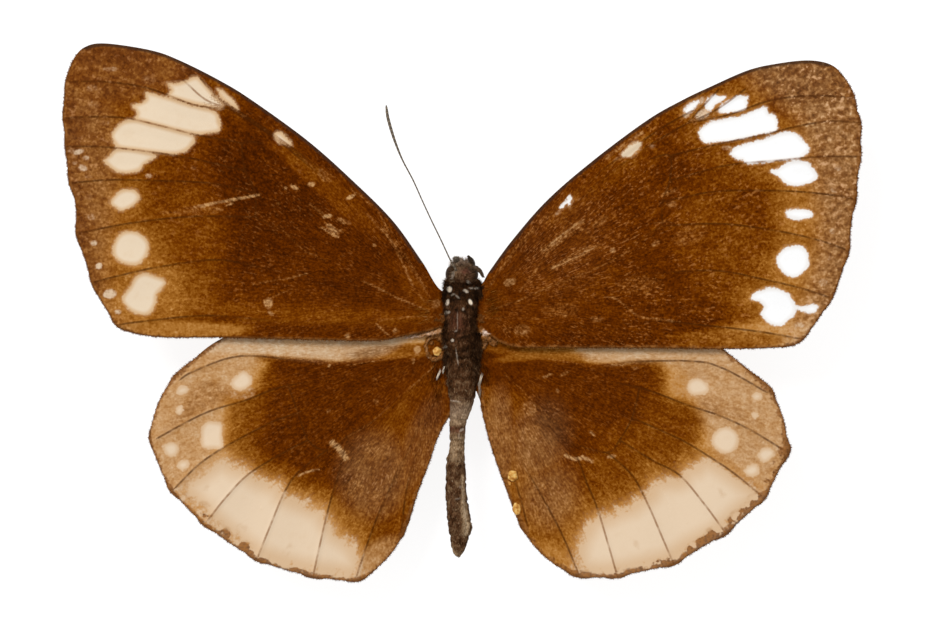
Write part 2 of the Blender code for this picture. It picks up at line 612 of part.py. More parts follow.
def fill_membrane(places, rim):
    """Add a loose field of points over the open membrane, in rows set half a step apart."""
    low = Vector((min(point.x for point in rim), min(point.y for point in rim)))
    high = Vector((max(point.x for point in rim), max(point.y for point in rim)))
    for row in range(int((high.y - low.y) / FIELD_STEP) + 1):
        for column in range(int((high.x - low.x) / FIELD_STEP) + 1):
            shift = 0.5 * (row % 2)
            point = low + Vector(((column + shift) * FIELD_STEP, row * FIELD_STEP))
            if inside(point, rim) and far_from(point, places, FIELD_STEP * 0.5):
                places.append(point)


def make_wing(name, edge, veins, lowered):
    """Triangulate a wing in plan, lift it to its height and raise the veins, with both faces split alike."""
    rim = catmull_rom(edge, RIM_STEP, closed=True)
    paths = [catmull_rom(points, VEIN_STEP) for points in veins.values()]
    places = list(rim)
    links = [(index, (index + 1) % len(rim)) for index in range(len(rim))]
    place_veins(places, links, paths, rim)
    place_vein_feet(places, links, paths, rim)
    fill_membrane(places, rim)
    flat, _, triangles, _, _, _ = delaunay_2d_cdt(places, links, [list(range(len(rim)))], 1, 1e-5)
    builder = bmesh.new()
    faces = {1.0: [], -1.0: []}
    for face_side in faces:
        for point in flat:
            ridge = min(distance_to_path(point, path) for path in paths)
            rise = VEIN_HEIGHT * max(0.0, 1.0 - ridge / VEIN_HALF_WIDTH)
            middle = wing_height(point.x, point.y) - lowered
            z = middle + face_side * (WING_HALF_THICKNESS + rise)
            faces[face_side].append(builder.verts.new((point.x, point.y, z)))
    edge_use = {}
    for triangle in triangles:
        for start, end in zip(triangle, triangle[1:] + triangle[:1]):
            edge_use[(start, end)] = True
        builder.faces.new([faces[1.0][index] for index in triangle])
        builder.faces.new([faces[-1.0][index] for index in reversed(triangle)])
    for start, end in edge_use:
        if (end, start) not in edge_use:
            builder.faces.new((faces[1.0][start], faces[-1.0][start], faces[-1.0][end], faces[1.0][end]))
    item = object_from_bmesh(name, builder)
    cutters = thorax_pieces(GAP)
    if lowered:
        cutters.append(loft("abdomen_clearance", abdomen_rings(GAP, grooves=False), 16))
    trim_against(item, cutters)
    return finish(item, "wing", 0.65, 30.0)


clear_scene()
make_thorax()
make_abdomen()
make_head()
make_head_limbs()
for leg_name, leg_stations in LEGS.items():
    make_leg(leg_name + "_left", mirrored(leg_stations, -1))
    make_leg(leg_name + "_right", leg_stations)
make_wing("forewing_left", FOREWING_LEFT_EDGE, FOREWING_LEFT_VEINS, 0.0)
make_wing("forewing_right", FOREWING_RIGHT_EDGE, FOREWING_RIGHT_VEINS, 0.0)
make_wing("hindwing_left", HINDWING_LEFT_EDGE, HINDWING_LEFT_VEINS, WING_STEP)
make_wing("hindwing_right", HINDWING_RIGHT_EDGE, HINDWING_RIGHT_VEINS, WING_STEP)
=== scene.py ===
# %% [markdown]
# # A small brown crow butterfly
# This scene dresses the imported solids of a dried, set butterfly. The solids say where every part is and how
# big it is. The pieces made here give the specimen its looks: wing sheets with scales, veins and worn
# patches, a hairy body, faceted eyes, and thin jointed legs. Sizes are worked out in millimetres and turned
# into metres at the end of each piece.
# %% Load the frame
import json
import math

import bpy
import numpy as np
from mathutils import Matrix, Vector

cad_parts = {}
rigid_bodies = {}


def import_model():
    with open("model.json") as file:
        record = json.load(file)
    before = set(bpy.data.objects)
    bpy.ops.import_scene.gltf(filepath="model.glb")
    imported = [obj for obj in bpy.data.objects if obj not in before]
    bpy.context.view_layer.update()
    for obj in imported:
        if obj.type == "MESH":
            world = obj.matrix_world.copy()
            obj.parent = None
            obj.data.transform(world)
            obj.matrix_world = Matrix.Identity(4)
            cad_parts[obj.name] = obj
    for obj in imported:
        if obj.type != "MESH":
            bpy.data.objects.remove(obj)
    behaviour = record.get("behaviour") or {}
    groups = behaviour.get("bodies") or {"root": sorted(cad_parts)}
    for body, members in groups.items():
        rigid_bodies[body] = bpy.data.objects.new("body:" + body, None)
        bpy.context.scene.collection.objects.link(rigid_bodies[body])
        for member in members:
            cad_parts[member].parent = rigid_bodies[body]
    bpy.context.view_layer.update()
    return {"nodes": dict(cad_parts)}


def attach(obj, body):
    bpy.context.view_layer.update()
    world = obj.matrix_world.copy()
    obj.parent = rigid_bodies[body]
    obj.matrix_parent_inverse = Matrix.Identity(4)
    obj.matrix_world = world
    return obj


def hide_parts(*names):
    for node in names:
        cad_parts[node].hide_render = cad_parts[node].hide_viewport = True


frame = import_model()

print("solids:", len(frame["nodes"]))

# %% [markdown]
# ## Units and small helpers
# The wings are drawn in plan. Their edges and veins are given in millimetres from the specimen's middle, as
# in the solids. The marks on them are drawn on squared paper, because a mark is easiest to place by
# counting squares: one square is 0.08 mm, and the squares are numbered from the sheet's top left corner.
# %% Units
MM = 0.001
SQUARE = 0.08
MIDDLE_COLUMN, MIDDLE_ROW = 462.5, 313.0
FAR = 1e9


def squares(points):
    """Turn places on the squared paper into millimetres."""
    return np.array([((x - MIDDLE_COLUMN) * SQUARE, (MIDDLE_ROW - y) * SQUARE) for x, y in points])


def on_paper(x, y):
    """Turn millimetres into places on the squared paper."""
    return np.column_stack([MIDDLE_COLUMN + x / SQUARE, MIDDLE_ROW - y / SQUARE])


def ease(value, low, high):
    """Rise smoothly from 0 at low to 1 at high."""
    share = np.clip((value - low) / (high - low), 0.0, 1.0)
    return share * share * (3.0 - 2.0 * share)


def bell(value, width):
    """1 where the value is 0, and fading to nothing within a few widths on either side."""
    return np.exp(-(value / width) ** 2)


def unit(vectors, least=0.0):
    """Make each row of an array one long."""
    return vectors / (np.linalg.norm(vectors, axis=1)[:, None] + least)


# %% [markdown]
# ## Lines
# Every edge, vein, leg and feeler is a smooth line through a few landmarks. A mark on a wing is a matter of
# distance to such a line: how far away a place is, on which side of the line, and whether a closed line
# runs round it.
# %% Lines and distances
def smooth_line(points, step, closed=False):
    """Read a smooth curve through the points, about one step apart."""
    points = np.asarray(points, float)
    count = len(points)
    runs = []
    for index in range(count if closed else count - 1):
        near = [index + shift for shift in (-1, 0, 1, 2)]
        before, start, end, after = points[[n % count if closed else min(max(n, 0), count - 1) for n in near]]
        cuts = max(1, round(float(np.linalg.norm(end - start)) / step))
        share = (np.arange(cuts) / cuts)[:, None]
        bend = (end - before) * share
        bend += (2.0 * before - 5.0 * start + 4.0 * end - after) * share ** 2
        bend += (3.0 * start - before - 3.0 * end + after) * share ** 3
        runs.append(start + 0.5 * bend)
    if not closed:
        runs.append(points[-1:])
    return np.concatenate(runs)


def lengths_along(line):
    """How far along a line each of its points is."""
    return np.concatenate([[0.0], np.cumsum(np.linalg.norm(np.diff(line[:, :3], axis=0), axis=1))])


def to_line(points, line, closed=False):
    """Measure each point's distance to a line, its side of the line, and the nearest place on the line."""
    starts = line if closed else line[:-1]
    ends = np.roll(line, -1, axis=0) if closed else line[1:]
    best = np.full(len(points), FAR)
    side = np.ones(len(points))
    foot = np.zeros_like(points)
    for start, end in zip(starts, ends):
        along = end - start
        share = np.clip(((points - start) @ along) / max(along @ along, 1e-12), 0.0, 1.0)
        place = start + share[:, None] * along
        away = points - place
        distance = np.hypot(*away.T)
        nearer = distance < best
        best[nearer] = distance[nearer]
        foot[nearer] = place[nearer]
        side[nearer] = np.sign(along[0] * away[nearer, 1] - along[1] * away[nearer, 0])
    return best, side, foot


def inside(points, outline):
    """Tell which points lie inside a closed outline."""
    x, y = points.T
    within = np.zeros(len(points), bool)
    for (x0, y0), (x1, y1) in zip(outline, np.roll(outline, -1, axis=0)):
        slope = (x1 - x0) / (y1 - y0) if y1 != y0 else 0.0
        within ^= ((y0 > y) != (y1 > y)) & (x < x0 + slope * (y - y0))
    return within


def depth_outside(points, outline, reach=FAR):
    """Measure the distance to a closed outline: negative inside, positive outside, and no more than reach."""
    low, high = outline.min(axis=0) - reach, outline.max(axis=0) + reach
    close = (points > low).all(axis=1) & (points < high).all(axis=1)
    depth = np.full(len(points), float(reach))
    distance = to_line(points[close], outline, closed=True)[0]
    depth[close] = np.where(inside(points[close], outline), -distance, distance)
    return np.minimum(depth, reach)


# %% [markdown]
# ## Working on one piece
# An operator works on what is selected and active, so each step starts by selecting its own piece and
# nothing else. A mesh is measured and moved through arrays of all its vertices, because a loop over them
# one by one is slow.
# %% Pieces
def clear_selection():
    """Leave edit mode and deselect everything."""
    if bpy.context.object and bpy.context.object.mode != "OBJECT":
        bpy.ops.object.mode_set(mode="OBJECT")
    bpy.ops.object.select_all(action="DESELECT")


def select_only(*pieces):
    """Select these pieces, and make the first one active."""
    clear_selection()
    for piece in pieces:
        piece.select_set(True)
    bpy.context.view_layer.objects.active = pieces[0]


def resize(piece, scale):
    """Scale a piece."""
    select_only(piece)
    piece.scale = scale
    bpy.ops.object.transform_apply(location=True, rotation=True, scale=True)


def apply(piece, kind, **settings):
    """Give a piece a modifier and apply it."""
    select_only(piece)
    modifier = piece.modifiers.new(kind.lower(), kind)
    for name, value in settings.items():
        setattr(modifier, name, value)
    bpy.ops.object.modifier_apply(modifier=modifier.name)


def join(pieces, name):
    """Make one piece of several."""
    select_only(*pieces)
    if len(pieces) > 1:
        bpy.ops.object.join()
    pieces[0].name = name
    return pieces[0]


def read(collection, name, width):
    """Copy one property of all a mesh's vertices, faces or corners into an array."""
    values = np.zeros(len(collection) * width, np.float64)
    collection.foreach_get(name, values)
    return values.reshape(-1, width) if width > 1 else values


def places_of(piece):
    """Where each vertex is."""
    return read(piece.data.vertices, "co", 3)


def normals_of(piece):
    """Which way the surface looks at each vertex."""
    return read(piece.data.vertices, "normal", 3)


def put(piece, places):
    """Move a piece's vertices to new places."""
    piece.data.vertices.foreach_set("co", places.ravel())


def store(piece, name, values):
    """Keep one number for each vertex as an attribute, which a material can read."""
    layer = piece.data.attributes.new(name, "FLOAT", "POINT")
    layer.data.foreach_set("value", np.asarray(values, np.float32))


def show(piece, finish, slot, *nodes):
    """Finish a piece: turn it into metres, give it its material and tie it to the frame."""
    resize(piece, (MM, MM, MM))
    piece.data.materials.clear()
    piece.data.materials.append(finish)
    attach(piece, "root")
    if nodes:
        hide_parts(*nodes)
    print(piece.name, "faces:", len(piece.data.polygons))
    return piece


# %% [markdown]
# ## Writing materials as sums
# A material is a graph of nodes. `Field` wraps one output of such a node, so a mask or a colour can be
# written as ordinary arithmetic, and `Finish` makes every other node through one method.
# %% Material helpers
LIGHT_LEVEL = 1.30
GREY_KNEE = 0.04045


def tint(red, green, blue):
    """Turn a colour as the eye sees it here, from 0 to 255, into the paint that gives it under this light."""
    channels = [value / 255.0 for value in (red, green, blue)]
    linear = [c / 12.92 if c <= GREY_KNEE else ((c + 0.055) / 1.055) ** 2.4 for c in channels]
    return (*(value / LIGHT_LEVEL for value in linear), 1.0)


def shades(*rows):
    """The stops of a colour ramp, from rows of place, red, green and blue."""
    return tuple((place, tint(*colour)) for place, *colour in rows)


class Field:
    """A value in a material. Arithmetic on it adds Math nodes."""

    def __init__(self, finish, socket):
        self.finish = finish
        self.socket = socket

    def math(self, operation, *values):
        return self.finish.node("ShaderNodeMath", {"operation": operation}, dict(enumerate(values)))

    def __add__(self, other):
        return self.math("ADD", self, other)

    def __sub__(self, other):
        return self.math("SUBTRACT", self, other)

    def __rsub__(self, other):
        return self.math("SUBTRACT", other, self)

    def __mul__(self, other):
        return self.math("MULTIPLY", self, other)

    def __abs__(self):
        return self.math("ABSOLUTE", self)

    __radd__ = __add__
    __rmul__ = __mul__

    def top(self, other):
        return self.math("MAXIMUM", self, other)

    def rise(self, low, high):
        """Go smoothly from 0 at low to 1 at high."""
        settings = {"interpolation_type": "SMOOTHSTEP"}
        return self.finish.node("ShaderNodeMapRange", settings, {0: self, 1: low, 2: high})


class Finish:
    """A material of this scene, built around one shader."""

    def __init__(self, name, **constants):
        self.material = bpy.data.materials.new(name)
        self.material.use_nodes = True
        self.tree = self.material.node_tree
        self.shader = self.tree.nodes["Principled BSDF"]
        for socket, value in constants.items():
            self.shader.inputs[socket.replace("_", " ")].default_value = value

    def node(self, kind, settings=None, values=None, output=0):
        """Add a node with its settings and inputs, and give one of its outputs."""
        node = self.tree.nodes.new(kind)
        for name, value in (settings or {}).items():
            setattr(node, name, value)
        for socket, value in (values or {}).items():
            if isinstance(value, Field):
                self.tree.links.new(value.socket, node.inputs[socket])
            else:
                node.inputs[socket].default_value = value
        return Field(self, node.outputs[output])

    def attribute(self, name, output="Fac"):
        return self.node("ShaderNodeAttribute", {"attribute_name": name}, output=output)

    def place(self):
        return self.node("ShaderNodeTexCoord", output="Object")

    def stretch(self, vector, *scale):
        """Draw a pattern out, or press it together, along the axes of its vector."""
        return self.node("ShaderNodeMapping", None, {"Vector": vector, "Scale": scale})

    def noise(self, vector, size, detail=2.0):
        """Smooth random values whose features are about `size` across, in metres or units of the vector."""
        values = {"Vector": vector, "Scale": 1.0 / size, "Detail": detail}
        return self.node("ShaderNodeTexNoise", None, values, "Fac")

    def cells(self, vector, scale, output, randomness=1.0):
        values = {"Vector": vector, "Scale": scale, "Randomness": randomness}
        return self.node("ShaderNodeTexVoronoi", None, values, output)

    def mix(self, factor, first, second):
        return self.node("ShaderNodeMix", {"data_type": "RGBA"}, {0: factor, 6: first, 7: second}, 2)

    def ramp(self, value, stops):
        colour = self.node("ShaderNodeValToRGB", None, {0: value}, "Color")
        elements = colour.socket.node.color_ramp.elements
        while len(elements) < len(stops):
            elements.new(0.5)
        for element, (place, paint) in zip(elements, stops):
            element.position = place
            element.color = paint
        return colour

    def dress(self, colour, height, distance, strength):
        """Link the shader to a colour and to a bump of the given height."""
        values = {"Height": height, "Distance": distance, "Strength": strength}
        relief = self.node("ShaderNodeBump", None, values, "Normal")
        self.tree.links.new(colour.socket, self.shader.inputs["Base Color"])
        self.tree.links.new(relief.socket, self.shader.inputs["Normal"])
        return self.material


# %% [markdown]
# ## The stage
# The specimen is seen from straight above, as in a drawer. A long lens far away keeps the plan true: at 200
# mm the near wing tips grow by only a fifth of a percent. The floor glows a little, as a light table does,
# so that the shadow under the wings stays faint. The light is a pale dome and one large soft lamp from the
# upper left.
# %% Floor, lights and camera
SHEET_WIDTH = 927 * SQUARE
LENS = 200.0
SENSOR = 36.0
VIEW_HEIGHT = 8.0
CAMERA_X = 0.08
CAMERA_Y = -0.04
FLOOR_SIZE = 2.0
FLOOR_PAINT = (0.22, 0.22, 0.22, 1.0)
WHITE_LIGHT = (1.0, 1.0, 1.0, 1.0)
DOME_STRENGTH = 0.72
LAMP_PLACE = (-0.25, 0.30, 0.55)
LAMP_SIZE = 0.30
LAMP_POWER = 3.4


def make_stage():
    """Build the floor, the dome, the lamp and the camera."""
    clear_selection()
    bpy.ops.mesh.primitive_plane_add(size=FLOOR_SIZE, location=(0.0, 0.0, 0.0))
    floor = bpy.context.object
    floor.name = "floor"
    paper = Finish("pale_floor", Roughness=0.9, Base_Color=FLOOR_PAINT, Emission_Strength=0.86,
                   Emission_Color=WHITE_LIGHT)
    floor.data.materials.append(paper.material)

    world = bpy.data.worlds.new("soft_dome")
    world.use_nodes = True
    background = world.node_tree.nodes["Background"]
    background.inputs["Color"].default_value = WHITE_LIGHT
    background.inputs["Strength"].default_value = DOME_STRENGTH
    bpy.context.scene.world = world

    bpy.ops.object.light_add(type="AREA", location=LAMP_PLACE)
    lamp = bpy.context.object
    lamp.name = "soft_lamp"
    lamp.data.shape = "DISK"
    lamp.data.size = LAMP_SIZE
    lamp.data.energy = LAMP_POWER
    lamp.rotation_euler = (-Vector(LAMP_PLACE)).to_track_quat("-Z", "Y").to_euler()

    distance = SHEET_WIDTH * LENS / SENSOR
    bpy.ops.object.camera_add(location=(CAMERA_X * MM, CAMERA_Y * MM, (VIEW_HEIGHT + distance) * MM))
    camera = bpy.context.object
    camera.name = "camera"
    camera.rotation_euler = (0.0, 0.0, 0.0)
    camera.data.lens = LENS
    camera.data.sensor_width = SENSOR
    camera.data.clip_start = 0.01
    bpy.context.scene.camera = camera
    bpy.context.scene.view_settings.view_transform = "Standard"
    print("camera height in mm:", round(VIEW_HEIGHT + distance, 1))


make_stage()

# %% [markdown]
# ## The wings' drawing
# A butterfly's wing is a dry double membrane stretched between veins. The two sides of a real specimen
# differ: this one's right wings are a little lower and more worn than its left ones, so each wing has its
# own table. Every edge is a handful of landmarks with a smooth curve through them, and every vein is one
# short run of landmarks from its root end to the rim.
# %% Edges and veins, in millimetres
FOREWING_LEFT_EDGE = (
    (0.4, 1.5), (-1.7, 1.8), (-3.3, 4.2), (-5.6, 7.4), (-8.8, 10.6), (-12.4, 13.8), (-16.8, 17),
    (-19.4, 18.6), (-22.7, 20.25), (-25, 21.05), (-28.6, 21.58), (-30.2, 21.3), (-31.1, 20.4),
    (-31.6, 19.1), (-31.95, 16.6), (-31.75, 13.2), (-31.5, 10.7), (-31, 8.8), (-30.85, 6.2), (-30.2, 4.2),
    (-29.45, 1.9), (-28.5, 0.25), (-27.7, -0.95), (-26.4, -1.6), (-24, -1.98), (-19.4, -2), (-13, -2.15),
    (-7, -2.25), (-4.6, -1.85), (-3, -1.55), (-1.8, -1.2), (0.4, -0.9),
)
FOREWING_RIGHT_EDGE = (
    (-0.8, 1.5), (1.3, 2.1), (2.2, 3.4), (4, 5.85), (6.8, 9.05), (10.5, 12.25), (14.8, 15.45),
    (17.6, 17.05), (19.8, 18.1), (22.9, 19.45), (25.4, 20), (27.65, 20.22), (29.3, 19.95), (30.35, 19.2),
    (31.05, 18.1), (31.6, 16.2), (31.9, 14.6), (31.8, 12.2), (31.5, 9.4), (31.2, 7.5), (30.9, 5.05),
    (30.45, 3.4), (29.85, 1.8), (28.5, -0.55), (27.3, -2), (26.2, -2.65), (24.2, -2.86), (20.6, -2.93),
    (14.2, -2.85), (7.8, -2.84), (5.2, -2.84), (3.9, -2.74), (3.1, -2.45), (2.4, -2), (1.5, -1.4),
    (-0.8, -1),
)
HINDWING_LEFT_EDGE = (
    (0.6, -1.6), (-1.8, -1.2), (-5.8, -0.5), (-11.4, -0.3), (-16.2, -0.8), (-19.6, -2.2), (-21.7, -3.8),
    (-23.4, -5.4), (-24.4, -7), (-25, -8.9), (-25.1, -10.2), (-24.6, -11.8), (-23.5, -14.1), (-21.2, -16.6),
    (-18.1, -18.95), (-14.8, -20.55), (-11.3, -21.35), (-9.4, -21.6), (-7.9, -21.35), (-6.7, -20.5),
    (-5.3, -18.9), (-4.6, -17.3), (-3.7, -14.9), (-2.7, -12.4), (-1.95, -10.2), (-1.2, -8.7), (0, -7),
    (0.6, -5),
)
HINDWING_RIGHT_EDGE = (
    (-1, -1.6), (1.6, -1.4), (4.6, -1), (9.4, -0.6), (15, -0.5), (19, -1.4), (21.2, -3), (23, -4.55),
    (24.85, -6.3), (25.8, -8.4), (26.1, -10.1), (26.2, -11), (25.5, -12.6), (24.1, -15), (21.6, -17.35),
    (19.4, -18.8), (17, -20.15), (14.2, -20.9), (11.2, -21.35), (9.4, -21.2), (7.5, -20.4), (5.8, -18.95),
    (4.85, -17.4), (3.9, -15.2), (2.9, -12.6), (2.1, -10.2), (1.6, -7.8), (1.25, -6.6), (0.4, -5),
    (-1, -4.4),
)
FOREWING_LEFT_VEINS = {
    "subcosta": ((-2.2, 1.6), (-5.4, 5.6), (-8.9, 9.4), (-12.8, 12.6), (-17.2, 15.7), (-20, 17.4)),
    "radius": ((-2.2, 1.1), (-4.6, 4), (-7.8, 7.6), (-11.6, 11.2), (-15.6, 14.4), (-18.8, 16.4)),
    "radius_3": ((-18.8, 16.4), (-20.1, 17.7), (-21, 18.8)),
    "radius_4": ((-18.8, 16.4), (-20.6, 17.1), (-22.3, 18.6)),
    "radius_5": ((-18.8, 16.4), (-21.4, 16.65), (-25.2, 18), (-28.6, 18.5), (-31.4, 18.5)),
    "media_1": ((-17.6, 13.6), (-21.4, 14.3), (-24.2, 15), (-27, 15.6), (-29.6, 15.7), (-31.8, 15.6)),
    "media_2": ((-17.4, 11.4), (-21.8, 12.4), (-25.8, 13), (-29, 13.3), (-31.7, 13.3)),
    "media_3": ((-16.6, 9.6), (-20.2, 10.4), (-25, 10.6), (-28.2, 10.65), (-31.3, 10.4)),
    "cubitus": ((-2.4, 0.2), (-5, 1), (-8, 2.6), (-11.2, 4.3), (-13.9, 6.2), (-16.6, 7.7)),
    "cubitus_1": ((-16.6, 7.7), (-21, 7.75), (-24.2, 7.5), (-27.4, 7.05), (-30.6, 6.4)),
    "cubitus_2": ((-9.8, 3.5), (-14.2, 3.3), (-19.4, 4.25), (-24.2, 3.7), (-27.4, 3), (-29.7, 2.4)),
    "anal": ((-2.4, -0.25), (-6.6, -0.55), (-14.6, -0.6), (-20.4, -0.2), (-25.8, -0.7), (-27.5, -0.95)),
    "cell_end": ((-16.2, 13.6), (-17.6, 13.6), (-17.4, 11.4), (-16.6, 9.6), (-16.6, 7.7)),
}
FOREWING_RIGHT_VEINS = {
    "subcosta": ((1.7, 1.8), (4.4, 5.2), (7.6, 8.6), (11.4, 11.6), (15.6, 14.6), (18.4, 16.2)),
    "radius": ((1.8, 1.2), (3.6, 3.4), (6.8, 6.9), (10.6, 10.3), (14.6, 13.2), (18, 15.2)),
    "radius_3": ((18, 15.2), (19.3, 16.6), (20.5, 17.9)),
    "radius_4": ((18, 15.2), (20.2, 16.2), (22.6, 17.9)),
    "radius_5": ((18, 15.2), (21.4, 15.9), (24.6, 17), (28, 17.4), (31.2, 17.2)),
    "media_1": ((16.6, 12.6), (20.6, 13.55), (24.2, 14.3), (26.6, 14.9), (29.4, 15.35), (31.8, 15.2)),
    "media_2": ((16.6, 10.6), (21, 11.8), (25.2, 12.2), (28.6, 12.5), (31.7, 12.5)),
    "media_3": ((16, 8.9), (20, 9.7), (23.6, 9.8), (27, 9.7), (30.2, 9.35), (31.3, 9.1)),
    "cubitus": ((1.8, 0.4), (4.6, 1.2), (7.6, 2.5), (10.8, 3.9), (13.4, 5.5), (16, 7)),
    "cubitus_1": ((16, 7), (20.4, 7.15), (23.8, 6.8), (27, 6.2), (29.2, 5.6), (30.8, 5)),
    "cubitus_2": ((9.6, 3.3), (14.8, 3.2), (20.2, 3.4), (23.8, 2.75), (27, 2), (29.5, 1.2)),
    "anal": ((1.8, -0.4), (6.2, -0.9), (14.2, -0.6), (19, -0.95), (23.8, -1.5), (27.2, -2.1)),
    "cell_end": ((15.2, 12.4), (16.6, 12.6), (16.6, 10.6), (16, 8.9), (16, 7)),
}
HINDWING_LEFT_VEINS = {
    "subcosta": (
        (-2.3, -3.2), (-5, -3.55), (-9.8, -4.25), (-13, -3.85), (-17.8, -3.45), (-21.4, -4.6),
        (-22.6, -5.3),
    ),
    "radial": ((-3.4, -3.7), (-9, -5), (-14.4, -5.9), (-17.4, -7), (-20.6, -8), (-24.4, -10)),
    "media_1": ((-13.2, -8), (-15.4, -8.8), (-19, -10.7), (-21.2, -12.2), (-23, -14)),
    "media_2": ((-12.4, -10.2), (-13.8, -10.9), (-17, -12.8), (-18.9, -14.7), (-20.4, -16.6)),
    "media_3": ((-10.9, -11), (-13.2, -12.8), (-14.3, -14.4), (-15.4, -17), (-16.4, -19.5)),
    "cubital": (
        (-2.4, -4.3), (-4.2, -6), (-6.6, -8.2), (-9, -9.8), (-9.9, -12.7), (-10.9, -16.2), (-12, -21.1),
    ),
    "cubital_2": ((-2.4, -6.4), (-4.4, -10.8), (-5.8, -14), (-7.1, -17), (-8.5, -21.1)),
    "anal": ((-1.9, -6), (-3, -8.6), (-4, -11.8), (-4.6, -14.8), (-4.9, -17.4)),
    "cell_end": ((-14, -5.8), (-13.2, -8), (-12.4, -10.2), (-10.9, -11), (-9, -9.8)),
}
HINDWING_RIGHT_VEINS = {
    "subcosta": (
        (1.9, -3), (3.4, -3.1), (8.2, -4.1), (10.7, -4.3), (13.2, -3.95), (18.3, -3.85), (20.8, -4.4),
        (24.3, -6.3),
    ),
    "radial": ((3, -3.5), (9, -5), (14.2, -6), (18.1, -7.4), (20.8, -8.3), (23.3, -9.5), (25.9, -11.1)),
    "media_1": ((13.6, -8.4), (17.4, -10.1), (19.6, -11.4), (21.7, -12.8), (23.9, -14.6)),
    "media_2": ((12.6, -10.2), (15.2, -11.8), (17.4, -13), (19.3, -15.2), (21, -17.5)),
    "media_3": ((11.6, -11.2), (13.6, -13), (14.9, -15.4), (15.9, -17.7), (16.9, -20)),
    "cubital": ((2, -4.2), (3.6, -6), (6, -8.2), (8.6, -10.4), (10, -13.7), (10.9, -15.9), (12.4, -21)),
    "cubital_2": ((2, -6.4), (4.2, -11), (6.2, -14.4), (8, -17.8), (9.3, -20.9)),
    "anal": ((1.7, -6.4), (2.6, -8.8), (3.6, -11.8), (4.5, -14.4), (5.2, -17)),
    "cell_end": ((14.2, -6), (13.6, -8.4), (12.6, -10.2), (11.6, -11.2), (8.6, -10.4)),
}
print("veins on each forewing:", len(FOREWING_LEFT_VEINS), "and on each hindwing:", len(HINDWING_LEFT_VEINS))

# %% [markdown]
# ## The wings' tones
# The ground colour runs through one scale of browns, from dark chocolate at 0 to cream at 1, and a wing is
# painted as with an airbrush: soft shapes laid over each other, each pulling the colour towards its own
# place on the scale. A soft shape is a list of places on the squared paper, how far its edge spreads in
# squares, its tone, and how strongly it covers. Four numbers in place of the list make an ellipse: its
# middle and its two radii, and a fifth turns it. Ashen shapes have no tone, because they only say where the
# brown looks dusty.
# %% Tones, in squares
FOREWING_LEFT_TONES = (
    ((250, 190, 85, 75), 60, 0.13, 0.9), ((350, 255, 70, 45), 50, 0.17, 0.85),
    ((190, 235, 38, 75), 50, 0.42, 0.8),
    (((60, 30), (170, 30), (175, 75), (140, 105), (118, 135), (112, 175), (112, 230), (118, 285),
     (150, 345), (60, 345)), 26, 0.47, 0.95),
    (((110, 296), (180, 296), (250, 302), (330, 306), (430, 316), (400, 325), (300, 325), (110, 318)), 14,
     0.42, 0.7),
    ((175, 330, 75, 9), 14, 0.72, 0.9), ((330, 331, 75, 6), 8, 0.2, 0.8),
    ((120, 78, 50, 28), 26, 0.36, 0.85), ((105, 56, 40, 9), 14, 0.28, 0.8),
    ((140, 300, 60, 30), 50, 0.62, 0.6),
    (((66, 100), (78, 100), (80, 180), (88, 230), (100, 290), (84, 290), (70, 200)), 8, 0.34, 0.7),
    ((330, 190, 70, 12, -42), 14, 0.4, 0.7), ((412, 285, 34, 9, -55), 8, 0.34, 0.8),
)
FOREWING_RIGHT_TONES = (
    ((640, 200, 95, 70), 60, 0.24, 0.8), ((660, 310, 90, 22), 24, 0.22, 0.8),
    ((570, 270, 60, 40), 40, 0.27, 0.8), ((720, 235, 40, 70), 50, 0.4, 0.8),
    (((740, 45), (880, 45), (880, 355), (755, 355), (772, 300), (780, 240), (775, 200), (770, 170),
     (790, 120), (765, 90)), 34, 0.57, 0.95),
    ((800, 85, 55, 24), 30, 0.44, 0.85), ((775, 335, 60, 16), 26, 0.8, 0.9),
    ((720, 340, 60, 9), 10, 0.5, 0.9), ((600, 341, 80, 7), 8, 0.18, 0.8),
    ((600, 180, 75, 9, 40), 14, 0.34, 0.6),
)
HINDWING_LEFT_TONES = (
    ((320, 405, 90, 45), 60, 0.21, 0.9),
    (((228, 362), (262, 372), (262, 395), (262, 470), (330, 490), (370, 520), (345, 560), (240, 540),
     (180, 470), (200, 400)), 44, 0.5, 0.9),
    (((140, 325), (300, 325), (300, 352), (258, 356), (270, 362), (262, 374), (252, 392), (232, 402),
     (228, 420), (226, 446), (234, 458), (222, 475), (190, 500), (130, 480), (130, 380)), 17, 0.81, 0.95),
    (((200, 384), (225, 388), (240, 396), (200, 412), (170, 425)), 9, 0.62, 0.7),
    # Partly painted light: this pale strip is the hindwing's own pale colour, set paler still to lift the
    # forewing's shadow on it.
    (((222, 325), (445, 325), (436, 348), (410, 354), (370, 358), (340, 362), (320, 361), (300, 359),
     (270, 356), (240, 354), (205, 352)), 6, 0.87, 0.95),
    ((400, 352, 50, 7, 4), 12, 0.56, 0.9),
    (((395, 400), (440, 380), (455, 420), (400, 580), (350, 590), (348, 480), (365, 440)), 26, 0.44, 0.85),
    ((378, 558, 26, 14, 40), 12, 0.72, 0.8), ((416, 349, 24, 5), 7, 0.46, 0.8),
    ((434, 346, 9, 13), 5, 0.26, 0.9), ((443, 395, 12, 36, -10), 16, 0.28, 0.8),
    ((424, 408, 15, 24), 14, 0.25, 0.7), ((398, 455, 14, 26), 12, 0.34, 0.5),
)
